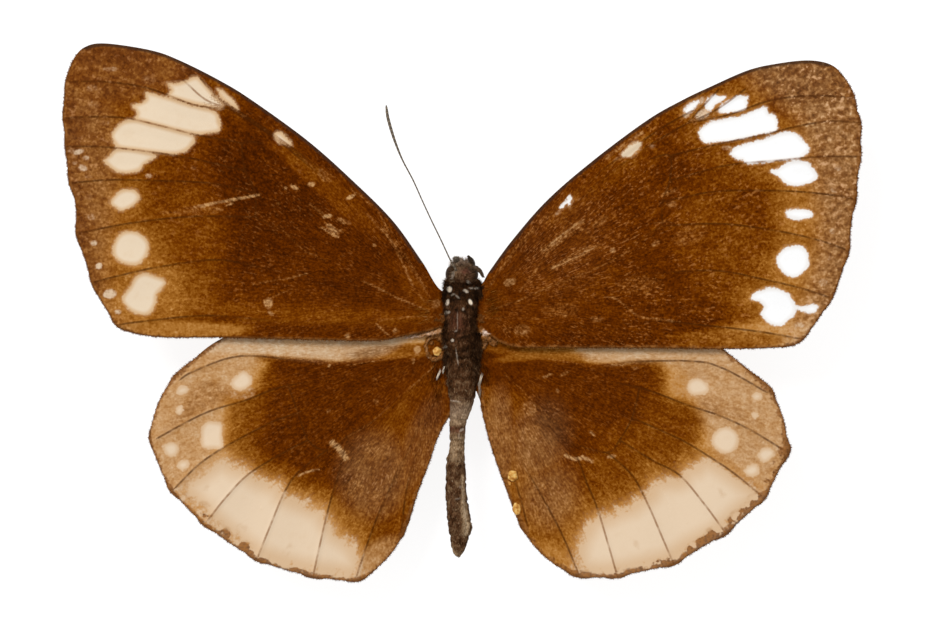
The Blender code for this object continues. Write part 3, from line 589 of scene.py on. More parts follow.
HINDWING_RIGHT_TONES = (
    ((590, 400, 85, 45), 60, 0.22, 0.9),
    (((660, 365), (690, 390), (705, 420), (700, 455), (680, 480), (640, 495), (590, 520), (560, 500),
     (600, 440), (640, 420)), 42, 0.42, 0.9),
    (((612, 325), (800, 325), (810, 500), (764, 494), (722, 462), (700, 450), (702, 425), (690, 405),
     (668, 396), (664, 372), (650, 362), (612, 360)), 18, 0.81, 0.95),
    (((700, 398), (730, 404), (760, 424), (735, 418), (705, 414)), 9, 0.66, 0.7),
    # Partly painted light: this pale strip is the hindwing's own pale colour, set paler still to lift the
    # forewing's shadow on it.
    (((500, 325), (800, 325), (760, 352), (720, 362), (690, 359), (640, 360), (600, 364), (560, 358),
     (505, 349)), 5, 0.84, 0.95),
    ((540, 354, 50, 6, -6), 14, 0.56, 0.9),
    (((478, 395), (500, 390), (540, 430), (570, 480), (575, 560), (520, 570), (470, 430)), 28, 0.54, 0.85),
    ((556, 560, 26, 12, -35), 12, 0.7, 0.85), ((500, 346, 30, 8, -8), 12, 0.42, 0.9),
    ((535, 355, 40, 5, 8), 6, 0.56, 0.8), ((515, 412, 18, 20), 14, 0.38, 0.7),
    ((547, 475, 16, 30, -10), 14, 0.42, 0.6),
)
ASHEN = {
    "forewing_left": (
        (((60, 95), (85, 90), (116, 135), (108, 300), (150, 345), (60, 345)), 30, 0.26),
        (((60, 30), (190, 30), (200, 70), (150, 92), (90, 110), (60, 120)), 30, 0.18),
    ),
    "forewing_right": (
        (((740, 45), (880, 45), (880, 355), (790, 355), (805, 300), (820, 240), (815, 180), (800, 120),
         (765, 90)), 34, 0.5),
        ((560, 240, 50, 50), 50, 0.06),
    ),
    "hindwing_left": (
        ((372, 475, 34, 40), 30, 0.36), ((420, 445, 16, 50, -20), 20, 0.2),
        ((378, 558, 26, 14, 40), 12, 0.35),
        (((222, 325), (405, 325), (398, 346), (370, 358), (320, 361), (270, 356), (205, 352)), 9, 0.8),
        (((140, 325), (250, 345), (248, 374), (222, 402), (216, 446), (190, 490), (130, 480)), 18, 0.42),
    ),
    "hindwing_right": (
        ((540, 440, 26, 36, -20), 34, 0.38), ((550, 495, 26, 30), 34, 0.32), ((500, 440, 14, 50), 18, 0.3),
        (((580, 325), (800, 325), (760, 352), (690, 359), (600, 362), (575, 345)), 9, 0.65),
        (((660, 350), (800, 325), (810, 500), (732, 464), (716, 446), (698, 404), (690, 376)), 18, 0.5),
    ),
}
print("soft shapes:", sum(map(len, (FOREWING_LEFT_TONES, FOREWING_RIGHT_TONES, HINDWING_LEFT_TONES,
                                    HINDWING_RIGHT_TONES, *ASHEN.values()))))

# %% [markdown]
# ## The wings' spots
# The cream spots and the hindwings' cream borders have crisp rims, so each has a closed outline of its own.
# The small dots along the margins are flecks: ellipses with a strength, and a turn where they are not
# upright.
# %% Spots and flecks, in squares
FOREWING_LEFT_SPOTS = (
    ((216, 88), (222, 89), (230, 96), (236, 103), (238, 110), (232, 106), (224, 100), (218, 93)),
    ((166, 82), (175, 83), (184, 81), (190, 78), (197, 77), (203, 82), (210, 90), (217, 98), (224, 104),
     (220, 109), (209, 107), (195, 104), (180, 100), (168, 96), (171, 90)),
    ((145, 92), (152, 93), (170, 98), (185, 103), (200, 107), (212, 110), (218, 115), (219, 122),
     (221, 128), (217, 132), (200, 134), (190, 133), (175, 130), (160, 126), (145, 122), (136, 119),
     (137, 113), (132, 105), (139, 103), (146, 99)),
    ((113, 131), (118, 125), (125, 121), (135, 120), (145, 122), (160, 126), (175, 130), (190, 134),
     (195, 137), (193, 143), (188, 149), (180, 153), (170, 154), (150, 152), (135, 150), (120, 148),
     (115, 144), (111, 137)),
    ((104, 160), (110, 155), (115, 150), (125, 149), (140, 151), (152, 154), (156, 157), (150, 161),
     (144, 165), (140, 170), (130, 173), (120, 173), (112, 169)),
    ((110, 203), (114, 196), (120, 191), (128, 189), (136, 191), (140, 197), (137, 203), (130, 208),
     (122, 211), (115, 208)),
    ((113, 248), (116, 239), (122, 233), (130, 231), (139, 233), (147, 240), (149, 247), (146, 257),
     (139, 264), (130, 265), (120, 262), (114, 256)),
    ((133, 281), (137, 276), (145, 273), (155, 276), (163, 279), (166, 283), (162, 289), (157, 295),
     (156, 303), (152, 311), (146, 315), (138, 314), (131, 311), (125, 306), (122, 300), (125, 293),
     (130, 287)),
    ((274, 133), (280, 132), (286, 137), (291, 142), (292, 146), (284, 144), (278, 142)),
)
FOREWING_RIGHT_SPOTS = (
    ((684, 112), (686, 107), (692, 102), (699, 100), (698, 105), (693, 110), (688, 114)),
    ((705, 108), (706, 102), (709, 98), (714, 95), (720, 95), (726, 97), (722, 100), (716, 104),
     (711, 110)),
    ((717, 110), (720, 106), (726, 101), (733, 97), (742, 96), (748, 96), (747, 101), (747, 107),
     (742, 111), (733, 112), (724, 113)),
    ((698, 131), (703, 126), (711, 121), (722, 119), (740, 115), (753, 110), (763, 106), (767, 108),
     (769, 113), (775, 115), (777, 120), (778, 125), (777, 131), (768, 133), (750, 137), (735, 140),
     (720, 142), (706, 143), (702, 140), (699, 135)),
    ((730, 154), (733, 149), (740, 145), (752, 141), (765, 138), (780, 133), (793, 132), (799, 135),
     (803, 140), (808, 144), (810, 148), (808, 152), (803, 156), (800, 158), (785, 160), (765, 162),
     (748, 164), (742, 160), (738, 160), (734, 157)),
    ((771, 171), (776, 169), (782, 166), (790, 162), (800, 161), (808, 163), (814, 169), (817, 176),
     (815, 180), (808, 184), (798, 186), (790, 185), (783, 181), (777, 176)),
    ((785, 212), (790, 209), (800, 208), (808, 210), (814, 214), (812, 217), (803, 220), (795, 219),
     (788, 217)),
    ((776, 260), (779, 253), (785, 248), (793, 246), (800, 246), (806, 250), (809, 258), (808, 266),
     (804, 272), (797, 277), (789, 277), (782, 272), (778, 266)),
    ((750, 299), (755, 293), (762, 290), (770, 288), (780, 289), (788, 293), (793, 300), (796, 308),
     (794, 315), (789, 320), (783, 325), (776, 326), (768, 323), (763, 318), (761, 312), (764, 307),
     (760, 302)),
    ((796, 306), (803, 307), (812, 304), (818, 307), (815, 313), (808, 313), (799, 310)),
    ((622, 154), (628, 148), (633, 144), (641, 142), (640, 148), (635, 153), (632, 156), (624, 156)),
    ((560, 207), (563, 203), (567, 200), (570, 195), (573, 198), (571, 203), (570, 208), (567, 204),
     (563, 208)),
)
HINDWING_LEFT_SPOTS = (
    ((230, 383), (236, 375), (243, 371), (250, 376), (251, 384), (244, 390), (235, 390)),
    ((201, 428), (206, 422), (214, 422), (222, 425), (222, 436), (222, 448), (213, 449), (202, 448),
     (200, 438)),
    ((176, 390), (181, 386), (187, 387), (188, 392), (182, 395), (176, 394)),
    ((176, 408), (181, 405), (183, 410), (179, 415), (175, 413)),
    ((162, 448), (167, 443), (175, 443), (178, 448), (176, 455), (168, 457)),
    ((176, 466), (180, 461), (187, 461), (188, 467), (182, 471)),
    ((183, 487), (200, 472), (212, 464), (224, 458), (230, 464), (236, 466), (246, 470), (255, 477),
     (262, 480), (270, 483), (279, 486), (283, 494), (292, 499), (300, 502), (312, 507), (322, 511),
     (325, 517), (331, 526), (338, 534), (346, 540), (354, 548), (358, 556), (360, 566), (356, 574),
     (345, 577), (322, 575), (300, 571), (270, 562), (250, 552), (230, 537), (215, 524), (196, 505)),
)
HINDWING_RIGHT_SPOTS = (
    ((687, 388), (689, 382), (695, 378), (703, 379), (709, 385), (710, 391), (702, 395), (692, 395)),
    ((712, 440), (716, 432), (724, 427), (733, 429), (739, 436), (738, 446), (731, 454), (722, 453),
     (714, 447)),
    ((752, 396), (757, 392), (763, 396), (759, 401), (753, 400)),
    ((752, 415), (756, 412), (759, 416), (755, 419)),
    ((758, 456), (762, 449), (771, 448), (776, 453), (771, 460), (764, 463)),
    ((744, 471), (750, 465), (758, 465), (760, 472), (754, 477), (747, 476)),
    ((760, 494), (742, 479), (722, 465), (706, 459), (696, 466), (688, 468), (680, 479), (668, 480),
     (655, 484), (650, 494), (640, 499), (632, 505), (618, 510), (604, 516), (592, 520), (586, 530),
     (580, 540), (577, 556), (582, 572), (600, 576), (625, 573), (650, 567), (672, 560), (690, 549),
     (705, 541), (722, 531), (740, 515), (754, 503)),
)
FLECKS = {
    "forewing_left": (
        (110, 294, 7, 5, 0.95), (118, 312, 4, 3, 0.8), (99, 266, 4, 4, 0.85), (94, 243, 4, 3, 0.8),
        (91, 217, 5, 4, 0.55), (88, 197, 5, 4, 0.45), (79, 152, 6, 3, 0.8, 20), (86, 158, 4, 3, 0.7),
        (83, 168, 4, 5, 0.75, 60), (88, 177, 5, 2, 0.6), (75, 163, 3, 2, 0.6), (72, 151, 5, 3, 0.6),
        (104, 123, 6, 3, 0.5), (94, 104, 7, 4, 0.4), (92, 88, 7, 4, 0.4), (110, 69, 8, 3, 0.6),
        (149, 176, 4, 3, 0.55), (194, 168, 4, 2, 0.35), (148, 80, 8, 5, 0.4),
    ),
    "forewing_right": (
        (832, 231, 4, 4, 0.6), (830, 257, 5, 4, 0.6), (823, 282, 5, 5, 0.55), (838, 168, 4, 4, 0.6),
        (839, 150, 5, 3, 0.5), (835, 190, 5, 4, 0.5), (838, 214, 5, 4, 0.45), (799, 325, 6, 4, 0.6),
        (697, 97, 3, 2, 0.6), (687, 116, 4, 2, 0.5), (727, 148, 6, 3, 0.6), (840, 128, 6, 4, 0.4),
        (703, 114, 9, 5, 0.85, 30), (686, 115, 4, 3, 0.8), (702, 100, 3, 5, 0.7, -30),
        (618, 158, 5, 2, 0.5, 30), (652, 146, 4, 2, 0.5, 10), (559, 212, 6, 2, 0.5, 40),
    ),
    "hindwing_left": ((240, 392, 16, 8, 0.5), (170, 430, 8, 6, 0.35), (188, 482, 5, 5, 0.5)),
    "hindwing_right": ((690, 385, 18, 14, 0.42), (733, 452, 10, 6, 0.3)),
}
CREAM_SPOTS = {
    "forewing_right": ((632, 149, 14, 9, 1, 34),),
}
print("spots drawn:", len(FOREWING_LEFT_SPOTS) + len(FOREWING_RIGHT_SPOTS)
      + len(HINDWING_LEFT_SPOTS) + len(HINDWING_RIGHT_SPOTS))

# %% [markdown]
# ## Wear
# A set specimen loses scales where it was touched. Each worn place shows the paler membrane as a speckled
# patch, a fleck or a thin scratch. Patches are ellipses with a strength, and scratches are runs of places
# with half their width. Dark teeth are the brown marks that bite in from the rim, most of them into the
# hindwings' cream borders.
# %% Patches, scratches and teeth, in squares
WORN_PATCHES = {
    "forewing_left": (
        (332, 229, 9, 3.5, 0.62, -42), (343, 221, 8, 3, 0.5, -18), (341, 231, 5, 2, 0.4, -60),
        (327, 216, 5, 2, 0.9, 10), (350, 197, 5, 2, 0.95, 25), (268, 303, 5, 6, 0.7),
        (270, 313, 4, 2, 0.8, -30), (347, 336, 3, 3, 0.7), (374, 245, 2, 2, 0.7), (311, 184, 4, 3, 0.8),
        (294, 187, 5, 2, 0.85, -25), (285, 188, 2, 2, 0.7), (278, 203, 2, 2, 0.5),
        (230, 204, 4, 1.5, 0.7, 20), (320, 212, 14, 2, 0.4, -35), (395, 331, 3, 3, 0.6),
        (435, 304, 6, 5, 0.5, 30), (325, 175, 9, 6, 0.42, -40), (200, 210, 24, 6, 0.38, 4),
        (240, 258, 3, 2, 0.4),
    ),
    "forewing_right": (
        (613, 250, 3, 3, 0.7), (510, 282, 7, 4, 0.72, 20), (522, 330, 9, 6, 0.48), (508, 330, 5, 4, 0.4),
        (597, 319, 8, 3, 0.5), (670, 192, 10, 3, 0.5, 20), (672, 204, 6, 4, 0.45),
        (656, 243, 5, 3, 0.45, 30), (690, 235, 20, 10, 0.33, 20), (640, 285, 24, 10, 0.33),
        (560, 310, 20, 8, 0.3), (600, 222, 10, 4, 0.4, 35),
    ),
    "hindwing_left": (
        (329, 366, 2, 2, 0.7), (323, 374, 2, 1, 0.4), (413, 361, 2, 4, 0.6), (376, 402, 3, 4, 0.4),
        (328, 411, 3, 2, 0.5, 45), (374, 379, 2, 2, 0.4), (422, 420, 3, 2, 0.4), (425, 400, 2, 2, 0.4),
        (378, 452, 14, 12, 0.36), (352, 490, 12, 10, 0.42), (376, 500, 9, 8, 0.36), (289, 342, 9, 2, 0.8),
        (345, 347, 5, 4, 0.4), (417, 350, 4, 4, 1, 30), (398, 470, 8, 14, 0.3),
    ),
    "hindwing_right": (
        (612, 457, 5, 2, 0.85, 10), (593, 434, 4, 2, 0.65, -40), (603, 439, 2, 2, 0.4),
        (548, 376, 6, 2, 0.55, 25), (565, 374, 6, 2, 0.45, 25), (558, 391, 2, 3, 0.5),
        (530, 409, 8, 8, 0.5), (533, 432, 8, 10, 0.42), (540, 489, 8, 6, 0.5), (617, 365, 12, 2, 0.6, 5),
        (636, 368, 5, 2, 0.5), (505, 432, 4, 14, 0.35, 10),
    ),
}
SCRATCHES = {
    "forewing_left": (
        (((365, 212), (378, 226), (390, 240), (402, 262), (412, 285)), 1.4, 0.5),
        (((350, 188), (372, 206), (392, 234), (410, 262), (426, 289)), 1, 0.42),
        (((382, 226), (399, 250), (416, 276), (431, 300)), 1, 0.4),
        (((195, 207), (215, 203), (235, 199), (258, 195)), 1.5, 0.78),
        (((160, 213), (190, 211), (222, 210)), 1.5, 0.42),
        (((321, 227), (331, 234), (338, 237)), 1.1, 0.75),
        (((362, 281), (380, 289), (395, 297), (412, 304), (428, 311)), 1, 0.55),
        (((436, 317), (410, 317), (378, 320)), 1, 0.42),
        (((277, 225), (290, 237), (302, 249), (325, 261)), 0.9, 0.38),
        (((252, 285), (270, 281), (290, 278), (308, 273)), 1, 0.5),
        (((270, 298), (282, 293), (292, 289)), 0.9, 0.42), (((376, 324), (384, 332), (391, 337)), 1.2, 0.6),
        (((410, 282), (420, 296), (428, 304)), 1.2, 0.42), (((233, 300), (246, 305), (256, 307)), 0.9, 0.4),
    ),
    "forewing_right": (
        (((606, 158), (618, 149), (630, 140), (643, 132)), 2, 0.55),
        (((543, 250), (560, 239), (583, 221)), 3, 0.5), (((544, 251), (558, 241), (579, 227)), 0.8, 0.66),
        (((548, 246), (563, 234), (584, 219)), 0.9, 0.72),
        (((553, 268), (575, 257), (598, 245)), 2.8, 0.44), (((560, 262), (576, 252), (590, 246)), 0.7, 0.6),
        (((570, 263), (586, 254), (603, 243)), 0.7, 0.45), (((549, 252), (570, 236), (587, 228)), 0.7, 0.5),
        (((560, 215), (575, 226), (590, 232)), 1.4, 0.4), (((690, 120), (708, 118), (716, 112)), 1.6, 0.6),
        (((553, 268), (566, 262), (580, 255), (595, 247)), 0.9, 0.7),
        (((520, 292), (536, 270), (552, 246), (566, 226)), 1.1, 0.42),
        (((605, 297), (615, 298), (622, 303), (632, 311), (640, 317), (660, 319), (680, 322)), 1.1, 0.55),
        (((655, 223), (668, 222), (680, 224)), 1.1, 0.5),
        (((485, 312), (500, 307), (520, 300), (535, 293), (560, 283), (580, 275), (600, 267), (630, 250)),
         0.9, 0.42),
        (((480, 319), (500, 318), (540, 319)), 0.9, 0.36),
        (((490, 285), (505, 262), (525, 238), (548, 213)), 2, 0.36),
    ),
    "hindwing_left": (
        (((332, 444), (338, 449), (345, 459)), 3.4, 0.8), (((297, 477), (305, 473), (318, 470)), 1.2, 0.7),
        (((436, 364), (425, 375), (410, 388), (395, 400), (380, 415), (365, 427), (341, 440)), 0.9, 0.42),
        (((435, 352), (418, 355), (400, 357), (370, 362), (345, 366)), 0.8, 0.5),
    ),
    "hindwing_right": (
        (((566, 456), (575, 460), (583, 458), (592, 462)), 2, 0.8),
        (((505, 375), (520, 388), (535, 403), (550, 418), (565, 430), (580, 440)), 0.9, 0.38),
        (((505, 350), (530, 356), (560, 361), (585, 365)), 0.8, 0.45),
        (((482, 385), (490, 410), (499, 440), (508, 465)), 1.2, 0.34),
        (((545, 400), (560, 412), (575, 420)), 0.8, 0.34),
    ),
}
DARK_TEETH = {
    "forewing_left": (),
    "forewing_right": ((840, 112, 34, 6, 0.8, 72), (800, 62, 40, 4, 0.6, 8), (846, 160, 30, 3, 0.5, 90)),
    "hindwing_left": (
        (190, 497, 7, 4, 0.8, -42), (204, 510, 9, 7, 0.9, -48), (222, 531, 10, 6, 0.9, -36),
        (246, 548, 9, 6, 0.9, -48), (264, 563, 7, 4, 0.8, -25), (298, 573, 10, 4, 0.8, -14),
        (330, 579, 14, 3, 0.7, -3), (182, 487, 8, 5, 0.7, -50), (205, 490, 5, 3, 0.4, 45),
        (286, 553, 3, 9, 0.34, -25), (240, 530, 5, 8, 0.3, -40),
    ),
    "hindwing_right": (
        (776, 464, 26, 7, 0.9, 65), (752, 503, 14, 7, 0.95, 42), (735, 517, 9, 5, 0.9, 40),
        (712, 535, 9, 7, 0.95, 38), (698, 545, 12, 6, 0.95, 32), (664, 563, 14, 5, 0.8, 20),
        (632, 574, 9, 4, 0.75, 8), (597, 578, 9, 3, 0.6), (725, 496, 9, 3, 0.46, -50),
        (690, 528, 3, 7, 0.4, 25), (637, 548, 3, 8, 0.34, 10),
    ),
}
print("scratches:", sum(map(len, SCRATCHES.values())))

# %% [markdown]
# ## Cutting a wing from a sheet
# Each wing starts as a flat grid of squares 0.13 mm wide, laid over its drawing. The squares outside the
# edge are deleted in edit mode, and the staircase that is left is drawn to the smooth edge. A height
# function then lifts the sheet, with a rounded ridge along each vein and a shallow trough between veins,
# and Solidify gives it two sides. The sheets are a tenth of a millimetre thick, the thinnest that still
# reads as a wing from the side.
# %% Wing sheets
WING_ROOT_X = 1.3
FOREWING_ROOT_Z = 6.35
WING_RISE = 0.105
WING_DROOP = 0.0012
WING_CUP = 0.0008
WING_STEP = 1.04
SHEET_SHIFT = 0.15
SHEET_THICKNESS = 0.1
SHEET_CELL = 0.13
CUT_ALLOWANCE = 0.15
EDGE_STEP = 0.2
ROUGHNESS = 0.025
RIDGE_HEIGHT = 0.075
RIDGE_WIDTH = 0.17
FRONT_RIDGE_WIDTH = 0.3
TROUGH_DEPTH = 0.09
TROUGH_WIDTH = 1.1
WAVE_HEIGHT = 0.05


def sheet_height(name, x, y):
    """The forewings' middle surface rises from the root, droops to the tip, and is cupped fore and aft.

    The forewing's sheet lies low in its solid and the hindwing's high in its own, so they nearly meet."""
    reach = np.abs(x) - WING_ROOT_X
    height = FOREWING_ROOT_Z + WING_RISE * reach - WING_DROOP * reach ** 2 - WING_CUP * y ** 2
    if name.startswith("forewing"):
        return height - SHEET_SHIFT
    return height - WING_STEP + SHEET_SHIFT


def vein_distance(points, veins):
    """Distance to the nearest vein, with the side of it that a point is on."""
    best = np.full(len(points), FAR)
    side = np.ones(len(points))
    for landmarks in veins.values():
        distance, which = to_line(points, smooth_line(landmarks, EDGE_STEP * 2.0))[:2]
        nearer = distance < best
        best[nearer] = distance[nearer]
        side[nearer] = which[nearer]
    return best, side


def wing_lift(points, wing):
    """The wing's height at each place: its rise and droop, a ridge on each vein, a trough between."""
    x, y = points.T
    nearest = vein_distance(points, wing["veins"])[0]
    front_distance = to_line(points, wing["front_edge"])[0]
    ridge = RIDGE_HEIGHT * bell(nearest, RIDGE_WIDTH)
    ridge = np.maximum(ridge, RIDGE_HEIGHT * bell(front_distance, FRONT_RIDGE_WIDTH))
    trough = TROUGH_DEPTH * (1.0 - bell(nearest, TROUGH_WIDTH))
    wave = WAVE_HEIGHT * np.sin(x * 0.9 + y * 0.35) * np.sin(y * 0.6 - x * 0.2 + 1.0)
    return sheet_height(wing["name"], x, y) + ridge - trough + wave


def scallop(edge, wing):
    """Draw the outer margin in between the ends of the veins, and roughen it."""
    at_margin = ease(to_line(edge, wing["outer_edge"])[0], 0.05, 0.0)
    for end in wing["outer_edge"][[0, -1]]:
        at_margin *= ease(np.linalg.norm(edge - end, axis=1), 0.3, 1.5)
    between = ease(vein_distance(edge, wing["veins"])[0], 0.35, 1.25)
    x, y = edge.T
    turning = np.sign((x * np.roll(y, -1) - np.roll(x, -1) * y).sum())
    along = np.roll(edge, -1, axis=0) - np.roll(edge, 1, axis=0)
    inward = unit(np.column_stack([-along[:, 1], along[:, 0]]) * turning)
    rough = np.sin(x * 7.0 + y * 9.0) * 0.5 + np.sin(x * 17.0 - y * 13.0) * 0.5
    depth = at_margin * (wing["scallop"] * (between - 0.5) + ROUGHNESS * rough)
    return edge + inward * depth[:, None], inward, at_margin


def cut_sheet(name, edge):
    """Lay a grid over the edge's box, delete what is outside it, and draw the staircase to the edge."""
    low, high = edge.min(axis=0), edge.max(axis=0)
    columns, rows = (int(math.ceil(side / SHEET_CELL)) for side in high - low)
    clear_selection()
    bpy.ops.mesh.primitive_grid_add(
        x_subdivisions=columns, y_subdivisions=rows, size=1.0, location=(*(low + high) / 2.0, 0.0))
    sheet = bpy.context.object
    sheet.name = name
    resize(sheet, (*(high - low), 1.0))
    centres = read(sheet.data.polygons, "center", 3)[:, :2]
    outside = depth_outside(centres, edge) > -SHEET_CELL * CUT_ALLOWANCE
    bpy.ops.object.mode_set(mode="EDIT")
    bpy.ops.mesh.select_mode(type="FACE")
    bpy.ops.mesh.select_all(action="DESELECT")
    bpy.ops.object.mode_set(mode="OBJECT")
    sheet.data.polygons.foreach_set("select", outside)
    bpy.ops.object.mode_set(mode="EDIT")
    bpy.ops.mesh.delete(type="FACE")
    bpy.ops.mesh.select_all(action="SELECT")
    bpy.ops.mesh.region_to_loop()
    bpy.ops.object.mode_set(mode="OBJECT")
    rim = np.zeros(len(sheet.data.vertices), bool)
    sheet.data.vertices.foreach_get("select", rim)
    places = places_of(sheet)
    places[rim, :2] = to_line(places[rim, :2], edge, closed=True)[2]
    put(sheet, places)
    return sheet


# %% [markdown]
# ## Soft shapes
# An ellipse, an outline and a scratch all come down to one number at each place: how far inside or outside
# it is, in squares. The number is then eased into a strength from 0 to 1.
# %% Soft shapes
OUTLINE_REACH = 60.0


def ellipse_depth(paper, x, y, width, height, turn=0.0):
    """Signed distance in squares, roughly, to an ellipse turned anticlockwise on the paper."""
    right, up = paper[:, 0] - x, y - paper[:, 1]
    cosine, sine = math.cos(math.radians(turn)), math.sin(math.radians(turn))
    along, across = right * cosine + up * sine, up * cosine - right * sine
    return (np.hypot(along / width, across / height) - 1.0) * math.sqrt(width * height)


def sprayed(paper, shape, spread, cover):
    """How strongly an airbrushed shape covers: an ellipse's numbers, or the places along a closed edge."""
    if isinstance(shape[0], tuple):
        depth = depth_outside(paper, smooth_line(shape, 6.0, closed=True), OUTLINE_REACH)
    else:
        depth = ellipse_depth(paper, *shape)
    return cover * (1.0 - ease(depth, -spread / 2.0, spread / 2.0))


def dab(paper, ellipses, inner=-1.5, outer=2.0):
    """The strongest of many small soft ellipses at each point, from 0 to 1."""
    strength = np.zeros(len(paper))
    for x, y, width, height, power, *turn in ellipses:
        depth = ellipse_depth(paper, x, y, width, height, *turn)
        strength = np.maximum(strength, power * (1.0 - ease(depth, inner, outer)))
    return strength


def scratch(paper, runs):
    """The strongest of many thin lines at each point, from 0 to 1."""
    strength = np.zeros(len(paper))
    for places, half_width, power in runs:
        distance = to_line(paper, smooth_line(places, 5.0))[0]
        strength = np.maximum(strength, power * (1.0 - ease(distance, half_width * 0.4, half_width * 2.0)))
    return strength


# %% [markdown]
# ## Painting a wing
# The painting is worked out at each vertex and kept in the mesh as attributes, which the material reads.
# Edges stay crisp between vertices because the attributes are distances, not colours: a spot's rim is where
# its distance crosses zero. `spot` is divided by how soft that rim is, so that the cream border's inner
# edge fades while a spot's does not. An outline with more than 25 landmarks is such a border.
# %% Attributes of a wing
BORDER_SIZE = 25
SPOT_SOFTNESS, SPOT_GLOW, SPOT_GLOW_REACH = 0.085, 0.66, 2.8
BORDER_SOFTNESS, BORDER_GLOW, BORDER_GLOW_REACH = 0.34, 0.74, 2.6
BORDER_WIDENING = 0.45
SPOT_REACH = 38.0
NO_SPOT = 9.0
LIE_FAN = 16.0


def paint_spots(paper, tone, outer_distance, spots):
    """Give the distance to the nearest spot's rim over its softness, and pale the brown round each spot."""
    nearest = np.full(len(paper), NO_SPOT)
    for outline, strength in spots:
        distance = depth_outside(paper, smooth_line(outline, 3.0, closed=True), SPOT_REACH) * SQUARE
        softness, glow, reach = SPOT_SOFTNESS, SPOT_GLOW, SPOT_GLOW_REACH
        if len(outline) > BORDER_SIZE:
            softness, glow, reach = BORDER_SOFTNESS, BORDER_GLOW, BORDER_GLOW_REACH
            distance = distance - BORDER_WIDENING * ease(outer_distance, 0.9, 0.3)
        nearest = np.minimum(nearest, distance / softness)
        fall = 1.0 - np.clip(distance / reach, 0.0, 1.0)
        tone += (glow - tone) * np.where(tone < glow, strength * fall ** 1.5, 0.0)
    return nearest


def paint_wing(sheet, wing):
    """Write the wing's drawing into its vertices."""
    name = wing["name"]
    places = places_of(sheet)[:, :2]
    paper = on_paper(*places.T)
    tone = np.full(len(paper), wing["base_tone"])
    for shape, spread, target, cover in wing["tones"]:
        tone += (target - tone) * sprayed(paper, shape, spread, cover)
    outer_distance = to_line(places, wing["outer_edge"])[0]
    spot = paint_spots(paper, tone, outer_distance, wing["spots"])
    nearest, side = vein_distance(places, wing["veins"])
    reach = np.hypot(*places.T)
    drawing = {
        "tone": tone,
        "spot": np.clip(spot, -20.0, 20.0),
        "ashen": np.max([sprayed(paper, *row) for row in ASHEN[name]], axis=0),
        "vein": np.clip(nearest, 0.0, 2.0),
        "vein_side": np.clip(nearest * side, -2.0, 2.0),
        "vein_dark": ease(reach, *wing["vein_fade"]),
        "front": np.clip(to_line(places, wing["front_edge"])[0], 0.0, 3.0),
        "outer": np.clip(outer_distance, 0.0, 3.0),
        "front_dark": wing["front_dark"] * ease(reach, *wing["front_fade"]),
        "fleck": dab(paper, FLECKS[name]),
        "worn": np.maximum(dab(paper, WORN_PATCHES[name]), scratch(paper, SCRATCHES[name])),
        "teeth": dab(paper, DARK_TEETH[name]),
        "cream": dab(paper, CREAM_SPOTS.get(name, ())),
        "rim": np.full(len(places), wing["rim_width"]),
    }
    for mark, values in drawing.items():
        store(sheet, mark, values)
    away = places - wing["root"]
    heading = math.atan2(*(wing["aim"] - wing["root"])[::-1])
    angle = (np.arctan2(away[:, 1], away[:, 0]) - heading + math.pi) % (2.0 * math.pi) - math.pi
    lie = np.column_stack([np.hypot(*away.T), angle * LIE_FAN, np.zeros(len(places))])
    layer = sheet.data.attributes.new("lie", "FLOAT_VECTOR", "POINT")
    layer.data.foreach_set("vector", lie.astype(np.float32).ravel())


# %% [markdown]
# ## The wings' map
# Unfolded, a wing is two flat islands, one for each side, and its rim is a row of small squares. The sides
# are told apart by the way their faces look: up, down or outward.
# %% Map of a wing
ISLAND_WIDTH, ISLAND_HEIGHT = 0.98, 0.47
TOP_ISLAND = (0.01, 0.005)
UNDER_ISLAND = (0.01, 0.49)
RIM_ROW = 0.975
RIM_SQUARE = 0.015
STEEP = 0.3


def unwrap_wing(sheet):
    """Give both sides of the wing a flat island of their own, and the rim a row of small squares."""
    mesh = sheet.data
    corners = read(mesh.loops, "vertex_index", 1).astype(int)
    places = places_of(sheet)[:, :2]
    low, high = places.min(axis=0), places.max(axis=0)
    scale = min(ISLAND_WIDTH / (high[0] - low[0]), ISLAND_HEIGHT / (high[1] - low[1]))
    flat = (places[corners] - low) * scale
    up = read(mesh.polygons, "normal", 3)[:, 2]
    totals = read(mesh.polygons, "loop_total", 1).astype(int)
    starts = read(mesh.polygons, "loop_start", 1).astype(int)
    face_of_corner = np.repeat(np.arange(len(totals)), totals)
    uv = flat + np.array(TOP_ISLAND)
    under = up[face_of_corner] < -STEEP
    uv[under] = flat[under] + np.array(UNDER_ISLAND)
    rim = np.abs(up[face_of_corner]) <= STEEP
    rim_faces = np.flatnonzero(np.abs(up) <= STEEP)
    order = np.zeros(len(totals), int)
    order[rim_faces] = np.arange(len(rim_faces))
    place_in_face = np.arange(len(corners)) - starts[face_of_corner]
    square = np.array([(0.0, 0.0), (0.7, 0.0), (0.7, 1.0), (0.0, 1.0)])[place_in_face % 4]
    uv[rim, 0] = 0.01 + ISLAND_WIDTH * (order[face_of_corner] + square[:, 0])[rim] / max(len(rim_faces), 1)
    uv[rim, 1] = RIM_ROW + RIM_SQUARE * square[rim, 1]
    mesh.uv_layers.new(name="OFBake").data.foreach_set("uv", uv.ravel())


